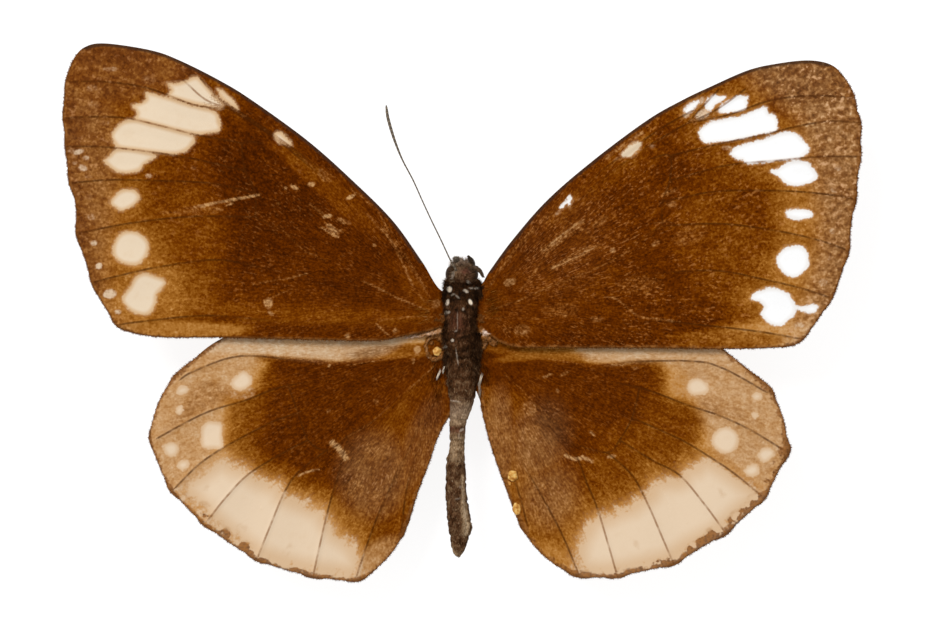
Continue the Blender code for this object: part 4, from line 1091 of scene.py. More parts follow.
# %% [markdown]
# ## The wings' finish
# Wing scales are tiny shingles laid in rows across the wing. Their mosaic shows as a fine grain of lighter
# and darker cells, drawn here by a cell texture that is stretched along the wing's own lie. The browns go
# through one colour ramp. Over it come the rubbed places, the cream spots with ragged rims, the veins and
# the dark rim.
# %% Wing colours
BROWNS = shades(
    (0.00, 58, 22, 1), (0.13, 77, 31, 1), (0.22, 91, 39, 1), (0.32, 106, 49, 2), (0.42, 123, 64, 5),
    (0.52, 140, 82, 20), (0.62, 159, 100, 34), (0.72, 181, 123, 56), (0.82, 203, 152, 94),
    (0.92, 220, 182, 140), (1.00, 231, 205, 174),
)
DUSTY = shades(
    (0.00, 84, 54, 30), (0.20, 108, 76, 44), (0.40, 130, 94, 58), (0.55, 150, 112, 74), (0.70, 175, 136, 98),
    (0.82, 200, 163, 124), (0.92, 215, 186, 150), (1.00, 231, 207, 179),
)
CREAM, CREAM_EDGE = tint(231, 210, 182), tint(214, 178, 136)
WHITE, WHITE_EDGE = tint(255, 255, 255), tint(244, 240, 236)
BAND, BAND_EDGE = tint(231, 206, 176), tint(218, 184, 146)
FLECK_PAINTS = tint(170, 120, 72), tint(228, 203, 172)
WORN_PAINTS = tint(164, 104, 44), tint(218, 172, 116)
LOST_PAINTS = tint(182, 120, 62), tint(216, 170, 128)
VEIN_PAINTS = tint(70, 33, 6), tint(140, 92, 50)
RIM_PAINTS = tint(90, 48, 14), tint(150, 96, 46)
HALO_PAINT = tint(206, 158, 108)
SPOT_TEETH_PAINT = tint(186, 142, 96)
CREAM_PAINT = tint(222, 200, 170)
OUTER_PAINT = tint(92, 52, 20)
FRONT_PAINT = tint(62, 42, 30)
print("browns:", len(BROWNS), "dusty browns:", len(DUSTY))
# %% Wing material
SHINGLE_SCALE = 8.5
SHINGLE_DISORDER = 0.8


def wing_finish(name, cream, spot_edge, grain_strength, scale_loss, halo):
    """The finish of a wing, by its spots' colours, how coarse its grain is, and how many scales are lost."""
    finish = Finish(name, Roughness=0.62, Specular_IOR_Level=0.0)
    place = finish.place()
    lie = finish.attribute("lie", "Vector")
    shingles = finish.stretch(lie, 0.55, 1.0, 1.0)
    cells = finish.cells(shingles, SHINGLE_SCALE, "Color", SHINGLE_DISORDER)
    shingle = finish.node("ShaderNodeSeparateColor", None, {0: cells}, "Red")
    dome = finish.cells(shingles, SHINGLE_SCALE, "Distance", SHINGLE_DISORDER)
    grain = finish.noise(place, 0.20 * MM)
    clump = finish.noise(place, 0.7 * MM, 3.0)
    mottle = finish.noise(place, 3.2 * MM)
    rows = finish.noise(finish.stretch(lie, 0.25, 2.2, 1.0), 1.0)
    dusty = finish.attribute("ashen")

    speckle = (shingle - 0.5) * 0.16 + (grain - 0.5) * 0.46 + (clump - 0.5) * (0.26 + dusty * 0.30)
    speckle = speckle + (rows - 0.5) * 0.24 + (mottle - 0.5) * 0.16
    flakes = finish.noise(finish.stretch(lie, 0.42, 1.0, 1.0), 0.2)
    speckle = speckle + (flakes - 0.5) * (dusty * (0.3 + 1.4 * scale_loss) + 0.2)
    bare_tone = finish.attribute("tone")
    tone = bare_tone + speckle * (1.0 - bare_tone.rise(0.45, 0.85) * 0.62) * grain_strength
    colour = finish.mix(dusty * (0.4 + clump * 1.2), finish.ramp(tone, BROWNS), finish.ramp(tone, DUSTY))

    rough = finish.attribute("fleck") + (grain - 0.5) * 0.6 + (clump - 0.5) * 0.7
    fleck = rough.rise(0.15, 0.95) * finish.attribute("fleck").rise(0.02, 0.2)
    colour = finish.mix(fleck * 0.85, colour, finish.mix(rough.rise(0.4, 1.0), *FLECK_PAINTS))
    rough = finish.attribute("worn") + (grain - 0.5) * 0.9 + (clump - 0.5) * 0.6
    worn = rough.rise(0.12, 0.75) * finish.attribute("worn").rise(0.02, 0.2)
    worn = worn * (0.35 + flakes.rise(0.4, 0.6) * 0.65)
    colour = finish.mix(worn * 0.75, colour, finish.mix(rough.rise(0.35, 0.95), *WORN_PAINTS))

    spot = finish.attribute("spot")
    ragged = spot + (grain - 0.5) * 3.6 + (clump - 0.5) * 3.0 + (rows - 0.5) * 4.2
    colour = finish.mix((1.0 - ragged.rise(0.4, 2.6)) * halo, colour, HALO_PAINT)
    spot_mask = 1.0 - ragged.rise(-1.0, 1.0)
    spot_colour = finish.mix(1.0 - spot.rise(-5.0, -0.5), spot_edge, cream)
    spot_colour = finish.mix((clump - 0.45).rise(0.0, 0.4) * 0.16, spot_colour, spot_edge)
    teeth = finish.attribute("teeth")
    spot_colour = finish.mix(teeth * clump.rise(0.40, 0.65) * 0.6, spot_colour, SPOT_TEETH_PAINT)
    creamy = finish.attribute("cream")
    colour = finish.mix(spot_mask, colour, finish.mix(creamy, spot_colour, CREAM_PAINT))

    near = 1.0 - finish.attribute("vein").rise(0.16, 0.30)
    line = 1.0 - abs(finish.attribute("vein_side")).rise(0.035, 0.125)
    vein = near * line * finish.attribute("vein_dark")
    vein = vein * (0.35 + clump.rise(0.25, 0.6) * 0.65) * (1.0 - creamy)
    colour = finish.mix(vein * 0.75, colour, finish.mix(spot_mask, *VEIN_PAINTS))

    bite = teeth.top(finish.attribute("rim")) * (0.25 + clump.rise(0.36, 0.64) * 0.75)
    outer = finish.attribute("outer")
    border = 1.0 - (outer + (grain - 0.5) * 0.24 - bite * 0.85).rise(0.0, 0.22)
    rim_colour = finish.mix((grain + clump * 0.6).rise(0.55, 1.0), *RIM_PAINTS)
    colour = finish.mix(border * 0.85, colour, rim_colour)
    lost = (flakes + (grain - 0.5) * 0.5).rise(0.54, 0.70) * finish.noise(place, 1.6 * MM).rise(0.38, 0.62)
    lost = lost * (1.0 - spot_mask) * scale_loss
    colour = finish.mix(lost * (0.42 + dusty * 0.8), colour, finish.mix(dusty * 1.6, *LOST_PAINTS))
    outer_edge = 1.0 - (outer + (clump - 0.5) * 0.16).rise(0.04, 0.20)
    colour = finish.mix(outer_edge * 0.55, colour, OUTER_PAINT)
    front_edge = 1.0 - (finish.attribute("front") + (clump - 0.5) * 0.10).rise(0.14, 0.34)
    colour = finish.mix(front_edge * finish.attribute("front_dark"), colour, FRONT_PAINT)
    return finish.dress(colour, dome * -0.5 + grain * 0.5 + clump * 0.35, 0.02 * MM, 0.5)


forewing_left_finish = wing_finish("forewing_left_scales", CREAM, CREAM_EDGE, 1.0, 0.5, 0.35)
forewing_right_finish = wing_finish("forewing_right_scales", WHITE, WHITE_EDGE, 1.1, 1.0, 0.45)
hindwing_finish = wing_finish("hindwing_scales", BAND, BAND_EDGE, 1.0, 0.35, 0.2)
print("nodes in a wing's finish:", len(hindwing_finish.node_tree.nodes))

# %% [markdown]
# ## The four wings
# What the wings of a pair share is written once. The rest is each wing's own: its drawing, which stretches
# of its edge are the front and the outer margin, where it is hinged and which way it points.
# %% Make the wings
LEFT_GLOW = (0.1, 0.1, 0.15, 0.2, 0.3, 0.75, 0.9, 0.9, 0.2)
RIGHT_GLOW = (0.5, 0.5, 0.5, 0.35, 0.45, 0.6, 0.8, 0.9, 0.9, 0.5, 0.45, 0.2)
HINDWING_GLOW = (0.35, 0.35, 0.3, 0.3, 0.3, 0.3, 1.0)
FOREWING = {"slot": "wing_upper", "front_dark": 0.85, "front_fade": (0.0, 2.0), "vein_fade": (13.0, 20.0)}
HINDWING = {"slot": "wing_lower", "front_fade": (8.0, 20.0), "vein_fade": (12.0, 16.0), "scallop": 0.20,
            "base_tone": 0.22, "front": slice(1, 6), "finish": hindwing_finish}
WINGS = {
    "forewing_left": {
        **FOREWING, "edge": FOREWING_LEFT_EDGE, "front": slice(2, 12), "outer": slice(11, 31),
        "veins": FOREWING_LEFT_VEINS, "tones": FOREWING_LEFT_TONES, "base_tone": 0.24,
        "spots": tuple(zip(FOREWING_LEFT_SPOTS, LEFT_GLOW)), "root": (-1.3, 0.6), "aim": (-28.0, 8.0),
        "rim_width": 0.10, "scallop": 0.08, "finish": forewing_left_finish},
    "forewing_right": {
        **FOREWING, "edge": FOREWING_RIGHT_EDGE, "front": slice(2, 13), "outer": slice(12, 35),
        "veins": FOREWING_RIGHT_VEINS, "tones": FOREWING_RIGHT_TONES, "base_tone": 0.25,
        "spots": tuple(zip(FOREWING_RIGHT_SPOTS, RIGHT_GLOW)), "root": (1.3, 0.6), "aim": (28.0, 8.0),
        "rim_width": 0.22, "scallop": 0.12, "finish": forewing_right_finish},
    "hindwing_left": {
        **HINDWING, "edge": HINDWING_LEFT_EDGE, "outer": slice(5, 27), "veins": HINDWING_LEFT_VEINS,
        "tones": HINDWING_LEFT_TONES, "spots": tuple(zip(HINDWING_LEFT_SPOTS, HINDWING_GLOW)),
        "root": (-1.3, -2.5), "aim": (-18.0, -14.0), "rim_width": 0.26, "front_dark": 0.45},
    "hindwing_right": {
        **HINDWING, "edge": HINDWING_RIGHT_EDGE, "outer": slice(5, 28), "veins": HINDWING_RIGHT_VEINS,
        "tones": HINDWING_RIGHT_TONES, "spots": tuple(zip(HINDWING_RIGHT_SPOTS, HINDWING_GLOW)),
        "root": (1.3, -2.5), "aim": (18.0, -14.0), "rim_width": 0.46, "front_dark": 0.4},
}


def make_wing(name, wing):
    """Cut, lift, thicken, paint and unwrap one wing."""
    wing["name"] = name
    wing["aim"], wing["root"] = np.array(wing["aim"]), np.array(wing["root"])
    for part in ("front", "outer"):
        wing[part + "_edge"] = smooth_line(wing["edge"][wing[part]], EDGE_STEP)
    edge = smooth_line(wing["edge"], EDGE_STEP, closed=True)
    wing["margin"], wing["inward"], wing["at_margin"] = scallop(edge, wing)
    sheet = cut_sheet(name + "_sheet", wing["margin"])
    places = places_of(sheet)
    places[:, 2] = wing_lift(places[:, :2], wing)
    put(sheet, places)
    apply(sheet, "SOLIDIFY", thickness=SHEET_THICKNESS, offset=0.0)
    paint_wing(sheet, wing)
    unwrap_wing(sheet)
    sheet.data.shade_smooth()
    show(sheet, wing["finish"], wing["slot"], name)


for name, wing in WINGS.items():
    make_wing(name, wing)

# %% [markdown]
# ## Tubes
# Legs, feelers and folds are all tubes of changing thickness. Each is a curve with a round bevel whose
# points carry their own radius, turned into a mesh once it is right, as one would draw it by hand.
# %% Tubes from curves
def tube(name, stations, step, sides, swell=None):
    """Sweep a round tube through stations of x, y, z and radius in mm. Swell changes the radius along it."""
    line = smooth_line(stations, step)
    clear_selection()
    bpy.ops.curve.primitive_bezier_curve_add()
    curve = bpy.context.object.data
    curve.splines.clear()
    spline = curve.splines.new("POLY")
    spline.points.add(len(line) - 1)
    lengths = lengths_along(line)
    for point, (x, y, z, radius), along in zip(spline.points, line, lengths):
        point.co = (x, y, z, 1.0)
        point.radius = radius * (swell(along, lengths[-1]) if swell else 1.0)
    curve.dimensions = "3D"
    curve.bevel_depth = 1.0
    curve.bevel_resolution = sides
    curve.use_fill_caps = True
    bpy.ops.object.convert(target="MESH")
    piece = bpy.context.object
    piece.name = name
    nearest = [np.argmin(((line[:, :3] - place) ** 2).sum(axis=1)) for place in places_of(piece)]
    store(piece, "along", lengths[nearest] / lengths[-1])
    piece.data.shade_smooth()
    return piece


# %% [markdown]
# ## The body's skin
# Head, thorax and abdomen are one skin, so that no seam shows between them. It lies a little inside the
# solids, by the depth of the hairy coat. Each form starts as a sphere with its poles fore and aft, drawn
# out along a table of stations. The forms are joined and remeshed into one surface, and then rings, plates
# and dried folds are pressed into it. A dried abdomen is never a clean tube: its middle has shrunk and its
# right side has folded.
# %% Forms of the body
BODY_X = -0.2
THORAX_Z = 5.5
COAT_DEPTH = 0.10
THIN = 0.1
THINNEST = 0.05
HEAD_CENTRE = (-0.05, 3.05, 5.85)
HEAD_RADII = (0.95, 0.92, 0.95)
HEAD_LOBES = (
    ((-0.38, 0.6, -0.2), (0.4, 0.62, 0.6)), ((0.2, 0.58, -0.2), (0.42, 0.62, 0.62)),
    ((0.02, 0.04, 0.36), (0.86, 0.78, 0.56)), ((-0.32, 0.42, 0.42), (0.24, 0.24, 0.22)),
    ((0.48, 0.45, 0.42), (0.28, 0.28, 0.26)),
)
THORAX_STATIONS = (
    (2.25, 0.05, 0.05), (2, 0.72, 0.85), (1.6, 1.06, 1.22), (0.9, 1.3, 1.58), (0, 1.44, 1.78),
    (-1, 1.5, 1.85), (-2, 1.45, 1.78), (-2.9, 1.28, 1.52), (-3.5, 1.05, 1.25), (-3.95, 0.5, 0.6),
    (-4.1, 0.05, 0.05),
)
THORAX_LOBES = (
    ((-0.2, 1.55, 6.1), (1.05, 0.55, 0.85)), ((-1.12, 0.75, 6.5), (0.42, 1, 0.45)),
    ((0.8, 0.75, 6.5), (0.42, 1, 0.45)), ((-0.2, -2.55, 6.75), (0.8, 0.75, 0.42)),
    ((-0.08, 2.25, 5.6), (0.85, 0.7, 0.85)), ((-0.95, 1.95, 5.95), (0.55, 0.55, 0.65)),
    ((0.85, 1.95, 5.95), (0.6, 0.55, 0.65)), ((-1.38, 1.35, 6.15), (0.34, 0.6, 0.42)),
    ((1.32, 1.65, 6.15), (0.46, 0.72, 0.42)), ((-0.95, 2.35, 5.9), (0.5, 0.45, 0.5)),
    ((0.92, 2.3, 5.9), (0.52, 0.45, 0.5)), ((0.95, -2.2, 5.6), (0.64, 1.6, 0.5)),
    ((0.82, -4, 5.4), (0.72, 1.15, 0.44)), ((-0.98, -3.8, 5.4), (0.64, 1.1, 0.44)),
)
ABDOMEN_STATIONS = (
    (-2.6, -0.12, 0.6, 0.6, 5.35), (-3.2, -0.12, 1.05, 1, 5.34), (-4.2, -0.1, 1.24, 1.15, 5.3),
    (-5.6, -0.05, 1.28, 1.2, 5.25), (-6.7, -0.06, 1.14, 1.12, 5.2), (-7.7, -0.18, 0.95, 1.02, 5.15),
    (-8.7, -0.34, 0.77, 0.93, 5.08), (-9.7, -0.42, 0.68, 0.85, 5.02), (-11, -0.45, 0.67, 0.8, 4.95),
    (-12, -0.54, 0.82, 0.82, 4.88), (-13.5, -0.54, 0.87, 0.86, 4.8), (-15, -0.48, 0.93, 0.88, 4.7),
    (-16.5, -0.3, 0.99, 0.88, 4.6), (-17.4, -0.19, 0.98, 0.82, 4.52), (-18.2, -0.27, 0.8, 0.72, 4.45),
    (-18.8, -0.32, 0.66, 0.58, 4.42), (-19.3, -0.34, 0.48, 0.42, 4.4), (-19.6, -0.34, 0.24, 0.22, 4.38),
    (-19.68, -0.34, 0.05, 0.05, 4.38),
)


def ball(name, centre, radii, segments=48, rings=32):
    """A sphere drawn out to its own radii."""
    clear_selection()
    bpy.ops.mesh.primitive_uv_sphere_add(segments=segments, ring_count=rings, radius=1.0, location=centre)
    piece = bpy.context.object
    piece.name = name
    resize(piece, radii)
    return piece


def spindle(name, stations, rings):
    """Draw a sphere out along stations of y, centre x, half width, half depth and centre z."""
    piece = ball(name, (0.0, 0.0, 0.0), (1.0, 1.0, 1.0), 64, rings)
    places = places_of(piece)
    share = np.arccos(np.clip(places[:, 2], -1.0, 1.0)) / math.pi
    turn = np.arctan2(places[:, 1], places[:, 0])
    line = smooth_line(stations, 0.1)
    marks = np.linspace(0.0, 1.0, len(line))
    y, centre_x, half_width, half_depth, centre_z = (np.interp(share, marks, column) for column in line.T)
    poles = (share < 1e-4) | (share > 1.0 - 1e-4)
    half_width, half_depth = np.where(poles, 0.0, half_width), np.where(poles, 0.0, half_depth)
    x, z = centre_x + half_width * np.cos(turn), centre_z + half_depth * np.sin(turn)
    put(piece, np.column_stack([x, y, z]))
    select_only(piece)
    bpy.ops.object.mode_set(mode="EDIT")
    bpy.ops.mesh.select_all(action="SELECT")
    bpy.ops.mesh.normals_make_consistent(inside=False)
    bpy.ops.object.mode_set(mode="OBJECT")
    return piece


def within_coat(size):
    """A station's half width or half depth, less the coat's depth unless it is a tip."""
    return size - COAT_DEPTH if size > THIN else size


def body_forms():
    """The sphere-like forms that are melted into one body."""
    thorax = [(y, BODY_X, within_coat(width), within_coat(depth), THORAX_Z)
              for y, width, depth in THORAX_STATIONS]
    abdomen = [(y, x, max(width - COAT_DEPTH * 0.6, THINNEST), max(depth - COAT_DEPTH * 0.6, THINNEST), z)
               for y, x, width, depth, z in ABDOMEN_STATIONS]
    forms = [spindle("thorax_form", thorax, 120), spindle("abdomen_form", abdomen, 200)]
    for centre, radii in THORAX_LOBES:
        forms.append(ball("lobe_form", centre, [radius - COAT_DEPTH * 0.7 for radius in radii]))
    forms.append(ball("head_form", HEAD_CENTRE, [radius - COAT_DEPTH for radius in HEAD_RADII]))
    for shift, radii in HEAD_LOBES:
        centre = [middle + step for middle, step in zip(HEAD_CENTRE, shift)]
        forms.append(ball("head_lobe_form", centre, radii))
    print("forms of the body:", len(forms))
    return forms


# %% [markdown]
# ## Rings, plates and folds
# A groove or a ridge is a bell curve across a line on the body, pressed in or raised along the skin's own
# normals. The abdomen has a groove behind each ring, a fold along each side and fine wrinkles. The thorax
# has the seams between its plates.
# %% Pressing the skin
SKIN_VOXEL = 0.062
SEGMENT_ENDS = (-5.2, -6.9, -8.6, -10.3, -12, -13.6, -15.2, -16.8, -18)
BODY_AXIS = (
    (-19.6, -0.34, 4.38), (-18.2, -0.27, 4.45), (-16.5, -0.3, 4.6), (-13.5, -0.54, 4.8), (-12, -0.54, 4.88),
    (-9.7, -0.42, 5.02), (-8.7, -0.34, 5.08), (-7.7, -0.18, 5.15), (-5.6, -0.05, 5.25), (-3.9, -0.15, 5.4),
    (-2, -0.2, 5.5), (2, -0.15, 5.6), (3.05, -0.05, 5.85),
)


def body_axis(y):
    """The body's middle line at y: centre x and z."""
    marks, xs, zs = zip(*BODY_AXIS)
    return np.interp(y, marks, xs), np.interp(y, marks, zs)


def round_axis(places):
    """Each place's turn round the body's middle line, and its height over that line."""
    x, y, z = places.T
    centre_x, centre_z = body_axis(y)
    return np.arctan2(z - centre_z, x - centre_x), z - centre_z


def press_abdomen(places):
    """How far the abdomen's skin is raised or pressed in at each place."""
    y = places[:, 1]
    turn = round_axis(places)[0]
    depth = np.zeros(len(places))
    on_abdomen = ease(y, -3.6, -4.4)
    for end in SEGMENT_ENDS:
        behind = y - end
        depth -= on_abdomen * 0.050 * bell(behind, 0.11)
        depth += on_abdomen * 0.022 * bell(behind - 0.30, 0.22)
    depth -= on_abdomen * 0.05 * bell(np.abs(np.cos(turn)) - 0.94, 0.05)
    wrinkle = np.sin(y * 9.0 + 2.0 * np.sin(turn * 2.0)) * np.sin(turn * 5.0 + y * 1.7)
    depth += on_abdomen * 0.018 * wrinkle + on_abdomen * 0.02 * np.sin(turn * 3.0 + y * 2.3)
    right_fold = bell(turn - 0.75 - 0.12 * np.sin(y * 1.3), 0.16) * ease(y, -12.6, -14.0)
    depth -= 0.10 * right_fold * ease(y, -18.6, -17.4)
    depth += 0.07 * (bell(y + 17.1, 0.5) * bell(turn - 0.1, 0.5))
    return depth


def press_thorax(places, depth):
    """Add the thorax's seams and unevenness to the depth."""
    x, y, z = places.T
    on_thorax = ease(y, -4.0, -3.2) * ease(y, 2.2, 1.8)
    above = ease(z, 6.3, 6.9)
    flank = on_thorax * ease(z, 6.2, 5.6)
    off_middle = np.abs(x - BODY_X)
    notal_line = 0.46 + 0.20 * np.cos((y + 0.3) * 0.9)
    seams = (
        (on_thorax * above, 0.05, off_middle, 0.06, ease(y, -1.9, -1.4)),
        (on_thorax * above, 0.05, off_middle - notal_line, 0.08, ease(y, -1.6, -1.0)),
        (on_thorax * above, 0.09, y + 1.75 - 0.35 * off_middle, 0.10, 1.0),
        (on_thorax * above, 0.07, y + 3.15, 0.10, 1.0),
        (above, 0.06, y - 1.12 + 0.25 * off_middle, 0.09, 1.0),
        (flank, 0.07, y + 0.9 + (z - 5.0) * 0.5, 0.12, 1.0),
        (flank, 0.07, y - 0.9 + (z - 5.0) * 0.3, 0.12, 1.0),
    )
    for where, amount, away, width, fade in seams:
        depth -= where * amount * bell(away, width) * fade
    depth += on_thorax * 0.015 * np.sin(x * 7.0 + y * 4.0) * np.sin(y * 5.0 - z * 6.0)


def make_skin():
    """Melt the forms into one skin and press it."""
    skin = join(body_forms(), "body_skin")
    apply(skin, "REMESH", mode="VOXEL", voxel_size=SKIN_VOXEL)
    apply(skin, "SMOOTH", factor=0.5, iterations=4)
    places = places_of(skin)
    depth = press_abdomen(places)
    press_thorax(places, depth)
    put(skin, places + normals_of(skin) * depth[:, None])
    skin.data.shade_smooth()
    return skin


# %% [markdown]
# ## The body's markings
# The skin and the hairs that grow on it carry the same markings, so both ask the same function for their
# tone. Along the back the body goes from near black on the thorax to brown, then grey-tan at the shrunken
# waist with a reddish ring, and brown again to a pale tip. White scale tufts dot the head and the thorax,
# in places given on the squared paper.
# %% Body markings
WHITE_DOTS = (
    (449.6, 289.2, 2.2, 2.8, 0.86), (468, 281.5, 1.1, 1, 0.7), (466, 291, 2.6, 1.5, 0.6, -28),
    (447.6, 302.5, 1.4, 3, 0.62, -10), (470.4, 302, 1.6, 2.8, 1, 25), (448, 312.5, 2, 1.2, 0.45, 15),
    (463.2, 309.2, 1.1, 1.3, 0.35), (452.5, 340.5, 1.4, 1.3, 0.75), (457.4, 321, 0.5, 8, 0.2),
    (457, 357, 0.7, 7.5, 0.3, 8), (474, 288.2, 5, 0.9, 0.34, -3), (457.4, 296.6, 2.6, 0.8, 0.28, -40),
    (452.8, 294.6, 2.2, 0.8, 0.22, 25), (453, 275.5, 1.1, 4.2, 0.55, -14),
    (461.8, 430.6, 2.4, 1.1, 0.62, 28), (446, 347, 1.3, 1.1, 0.45, -20), (456, 331, 1.6, 0.8, 0.25, 30),
    (455, 401.5, 5.5, 0.7, 0.3, -8), (458, 500, 3, 0.8, 0.16, 10), (460.5, 488, 1.2, 1.2, 0.2),
    (459, 437, 1, 3, 0.15),
)
BACK_TONES = (
    (-19.6, 0.6), (-19.1, 0.56), (-18.4, 0.42), (-16.5, 0.42), (-14.5, 0.48), (-13, 0.42), (-12.4, 0.44),
    (-11.6, 0.66), (-10.4, 0.72), (-9.7, 0.64), (-9.3, 0.48), (-9, 0.68), (-8.2, 0.8), (-7.7, 0.68),
    (-7, 0.5), (-6, 0.42), (-4.6, 0.38), (-3.6, 0.33), (-2, 0.3), (-0.6, 0.31), (0.6, 0.27), (1.2, 0.17),
    (2.3, 0.2), (2.7, 0.48), (3.2, 0.64), (3.8, 0.7), (4.4, 0.72),
)


def body_tone(places):
    """The tone of the body at each place, painted shade included, and how white its scale tufts are there."""
    x, y = places[:, :2].T
    tone = np.interp(y, *zip(*BACK_TONES))
    turn, over = round_axis(places)
    fold = bell(turn - 0.85, 0.24 + 0.20 * ease(y, -14.0, -16.0))
    tone += (0.98 - tone) * 0.9 * fold * ease(y, -12.4, -13.6) * ease(y, -18.4, -17.6)
    # Painted shadow: a dark dot for the shaded pit where the left forewing meets the thorax.
    tone -= 0.25 * np.exp(-((x + 1.40) ** 2 + (y + 0.96) ** 2) / 0.2 ** 2)
    # Painted shade: the thorax's right flank is made a little darker.
    tone -= 0.05 * bell(x - 0.95, 0.35) * ease(y, -4.4, -3.4) * ease(y, 2.0, 1.0)
    tone += 0.10 * bell(np.abs(turn) - 2.6, 0.4) * ease(y, -16.0, -18.0)
    tone += (0.52 - tone) * 0.6 * ease(over, 0.2, -0.5) * ease(y, -3.0, -4.5)
    white = dab(on_paper(x, y), WHITE_DOTS, -0.5, 0.7) * ease(over, 0.1, 0.5)
    return tone, white


def mark_body(piece, places, variety=0.0):
    """Store the markings at the given places, one for each vertex. Variety is added to the tone."""
    tone, white = body_tone(places)
    x, y, z = places.T
    bare = np.exp(-(((x - 0.25) / 0.65) ** 2 + ((y - 3.3) / 0.55) ** 2)) * ease(z, 6.1, 6.4)
    ring = bell(y + 9.4, 0.28)
    shield = np.exp(-(((x + 0.35) / 0.8) ** 2 + ((y + 0.8) / 0.9) ** 2)) * ease(z, 6.6, 6.9)
    grey = 0.75 * ease(y, 3.6, 4.1) * ease(x, 0.55, 0.30) + 0.35 * bell(y + 8.0, 0.7)
    store(piece, "tone", tone + variety)
    store(piece, "white", white)
    store(piece, "grey", np.clip(grey, 0.0, 1.0))
    store(piece, "red", np.clip(np.maximum(bare * 0.9, ring * 0.7) + shield * 0.35, 0.0, 1.0))


# %% Body material
BODY_BROWNS = shades(
    (0.00, 24, 13, 6), (0.20, 48, 28, 12), (0.34, 70, 42, 20), (0.46, 92, 62, 40), (0.56, 112, 83, 56),
    (0.68, 140, 112, 82), (0.82, 172, 142, 108), (1.00, 206, 180, 148),
)
GREY_PAINT, RED_PAINT, TUFT_PAINT = tint(158, 136, 120), tint(112, 62, 46), tint(240, 222, 198)


def body_finish(name):
    """One finish for the skin and its coat: browns by tone, with grey, red and white laid over them."""
    finish = Finish(name, Roughness=0.72, Specular_IOR_Level=0.03)
    place = finish.place()
    grain = finish.noise(place, 0.10 * MM, 3.0)
    clump = finish.noise(place, 0.45 * MM, 3.0)
    hair = finish.noise(finish.stretch(place, 1.0, 0.25, 1.0), 0.07 * MM)
    tone = finish.attribute("tone") + ((grain - 0.5) * 0.25 + (clump - 0.5) * 0.8 + (hair - 0.5) * 0.4)
    colour = finish.ramp(tone, BODY_BROWNS)
    colour = finish.mix(finish.attribute("grey") * (0.3 + clump), colour, GREY_PAINT)
    colour = finish.mix(finish.attribute("red") * clump.rise(0.3, 0.6), colour, RED_PAINT)
    colour = finish.mix(finish.attribute("white"), colour, TUFT_PAINT)
    return finish.dress(colour, grain + hair * 0.8, 0.015 * MM, 0.7)


body_paint = body_finish("body_scales")
skin = make_skin()
skin_places = places_of(skin)
skin_normals = normals_of(skin)
mark_body(skin, skin_places)
show(skin, body_paint, "body", "thorax", "abdomen", "head")

# %% [markdown]
# ## Hair
# Butterflies wear hair-like scales. Each one here is a small solid spike with a bent middle: three points
# sunk in the skin, three at the bend and one at the tip. A whole coat is one joined mesh, made from arrays
# because it repeats thousands of times. Its map, OFBake, unrolls the body like a label from a can, and
# every hair is a tiny patch at its root's place on it.
# %% Hair
HAIR_SIDES = 3
HAIR_POINTS = 2 * HAIR_SIDES + 1
SUNK_SHARE = 0.12
BEND_WIDTH = 0.75
FLATNESS = 0.45
PATCH = 0.0015
HAIR_VARIETY = 0.12
BODY_LENGTH, TAIL_Y = 25.0, -19.8
rng = np.random.default_rng(11)


def unroll(places):
    """The place on the unrolled body: once round is 0 to 1, head to tail is 0 to 1."""
    around = round_axis(places)[0] / (2.0 * math.pi) + 0.5
    return np.column_stack([around * 0.98 + 0.01, (places[:, 1] - TAIL_Y) / BODY_LENGTH * 0.98 + 0.01])


def hair_faces(count):
    """The corners of every face of so many hairs."""
    one = [(2, 1, 0)]
    for corner in range(HAIR_SIDES):
        after = (corner + 1) % HAIR_SIDES
        one += [(corner, after, 3 + after), (corner, 3 + after, 3 + corner), (3 + corner, 3 + after, 6)]
    return (np.array(one)[None] + HAIR_POINTS * np.arange(count)[:, None, None]).reshape(-1, 3)


def hairs(name, roots, headings, lifts, lengths, widths, home, droop=0.25):
    """Make a coat: at each root a spike that starts along heading and lift and bends back towards heading.

    Home is each root's place on the map."""
    count = len(roots)
    lengths, widths = lengths[:, None], widths[:, None]
    start = unit(headings + lifts)
    middle = roots + start * (lengths * 0.5)
    side = unit(np.cross(start, lifts + rng.normal(0.0, 0.05, (count, 3))), 1e-9)
    up = np.cross(side, start)
    sunk = roots - start * (lengths * SUNK_SHARE)
    places = np.zeros((count, HAIR_POINTS, 3))
    patches = np.zeros((count, HAIR_POINTS, 2))
    for corner in range(HAIR_SIDES):
        angle = 2.0 * math.pi * corner / HAIR_SIDES
        flat = side * math.cos(angle) + up * (math.sin(angle) * FLATNESS)
        places[:, corner] = sunk + flat * widths
        places[:, 3 + corner] = middle + flat * (widths * BEND_WIDTH)
        patches[:, corner] = home + np.array([(corner / 3.0 - 0.5), -0.9]) * PATCH
        patches[:, 3 + corner] = home + np.array([(corner / 3.0 - 0.4) * 0.8, 0.1]) * PATCH
    places[:, 6] = middle + unit(headings + lifts * (1.0 - droop * 2.5)) * (lengths * 0.5)
    patches[:, 6] = home + np.array([0.0, 0.9]) * PATCH
    faces = hair_faces(count)
    mesh = bpy.data.meshes.new(name)
    mesh.vertices.add(count * HAIR_POINTS)
    mesh.vertices.foreach_set("co", places.ravel())
    mesh.loops.add(faces.size)
    mesh.loops.foreach_set("vertex_index", faces.ravel())
    mesh.polygons.add(len(faces))
    mesh.polygons.foreach_set("loop_start", np.arange(0, faces.size, 3))
    mesh.update(calc_edges=True)
    mesh.uv_layers.new(name="OFBake").data.foreach_set("uv", patches.reshape(-1, 2)[faces.ravel()].ravel())
    piece = bpy.data.objects.new(name, mesh)
    bpy.context.collection.objects.link(piece)
    mesh.validate()
    return piece


def each_point(values):
    """Repeat a value of each hair for all its points."""
    return np.repeat(values, HAIR_POINTS, axis=0)


print("points of a hair:", HAIR_POINTS)

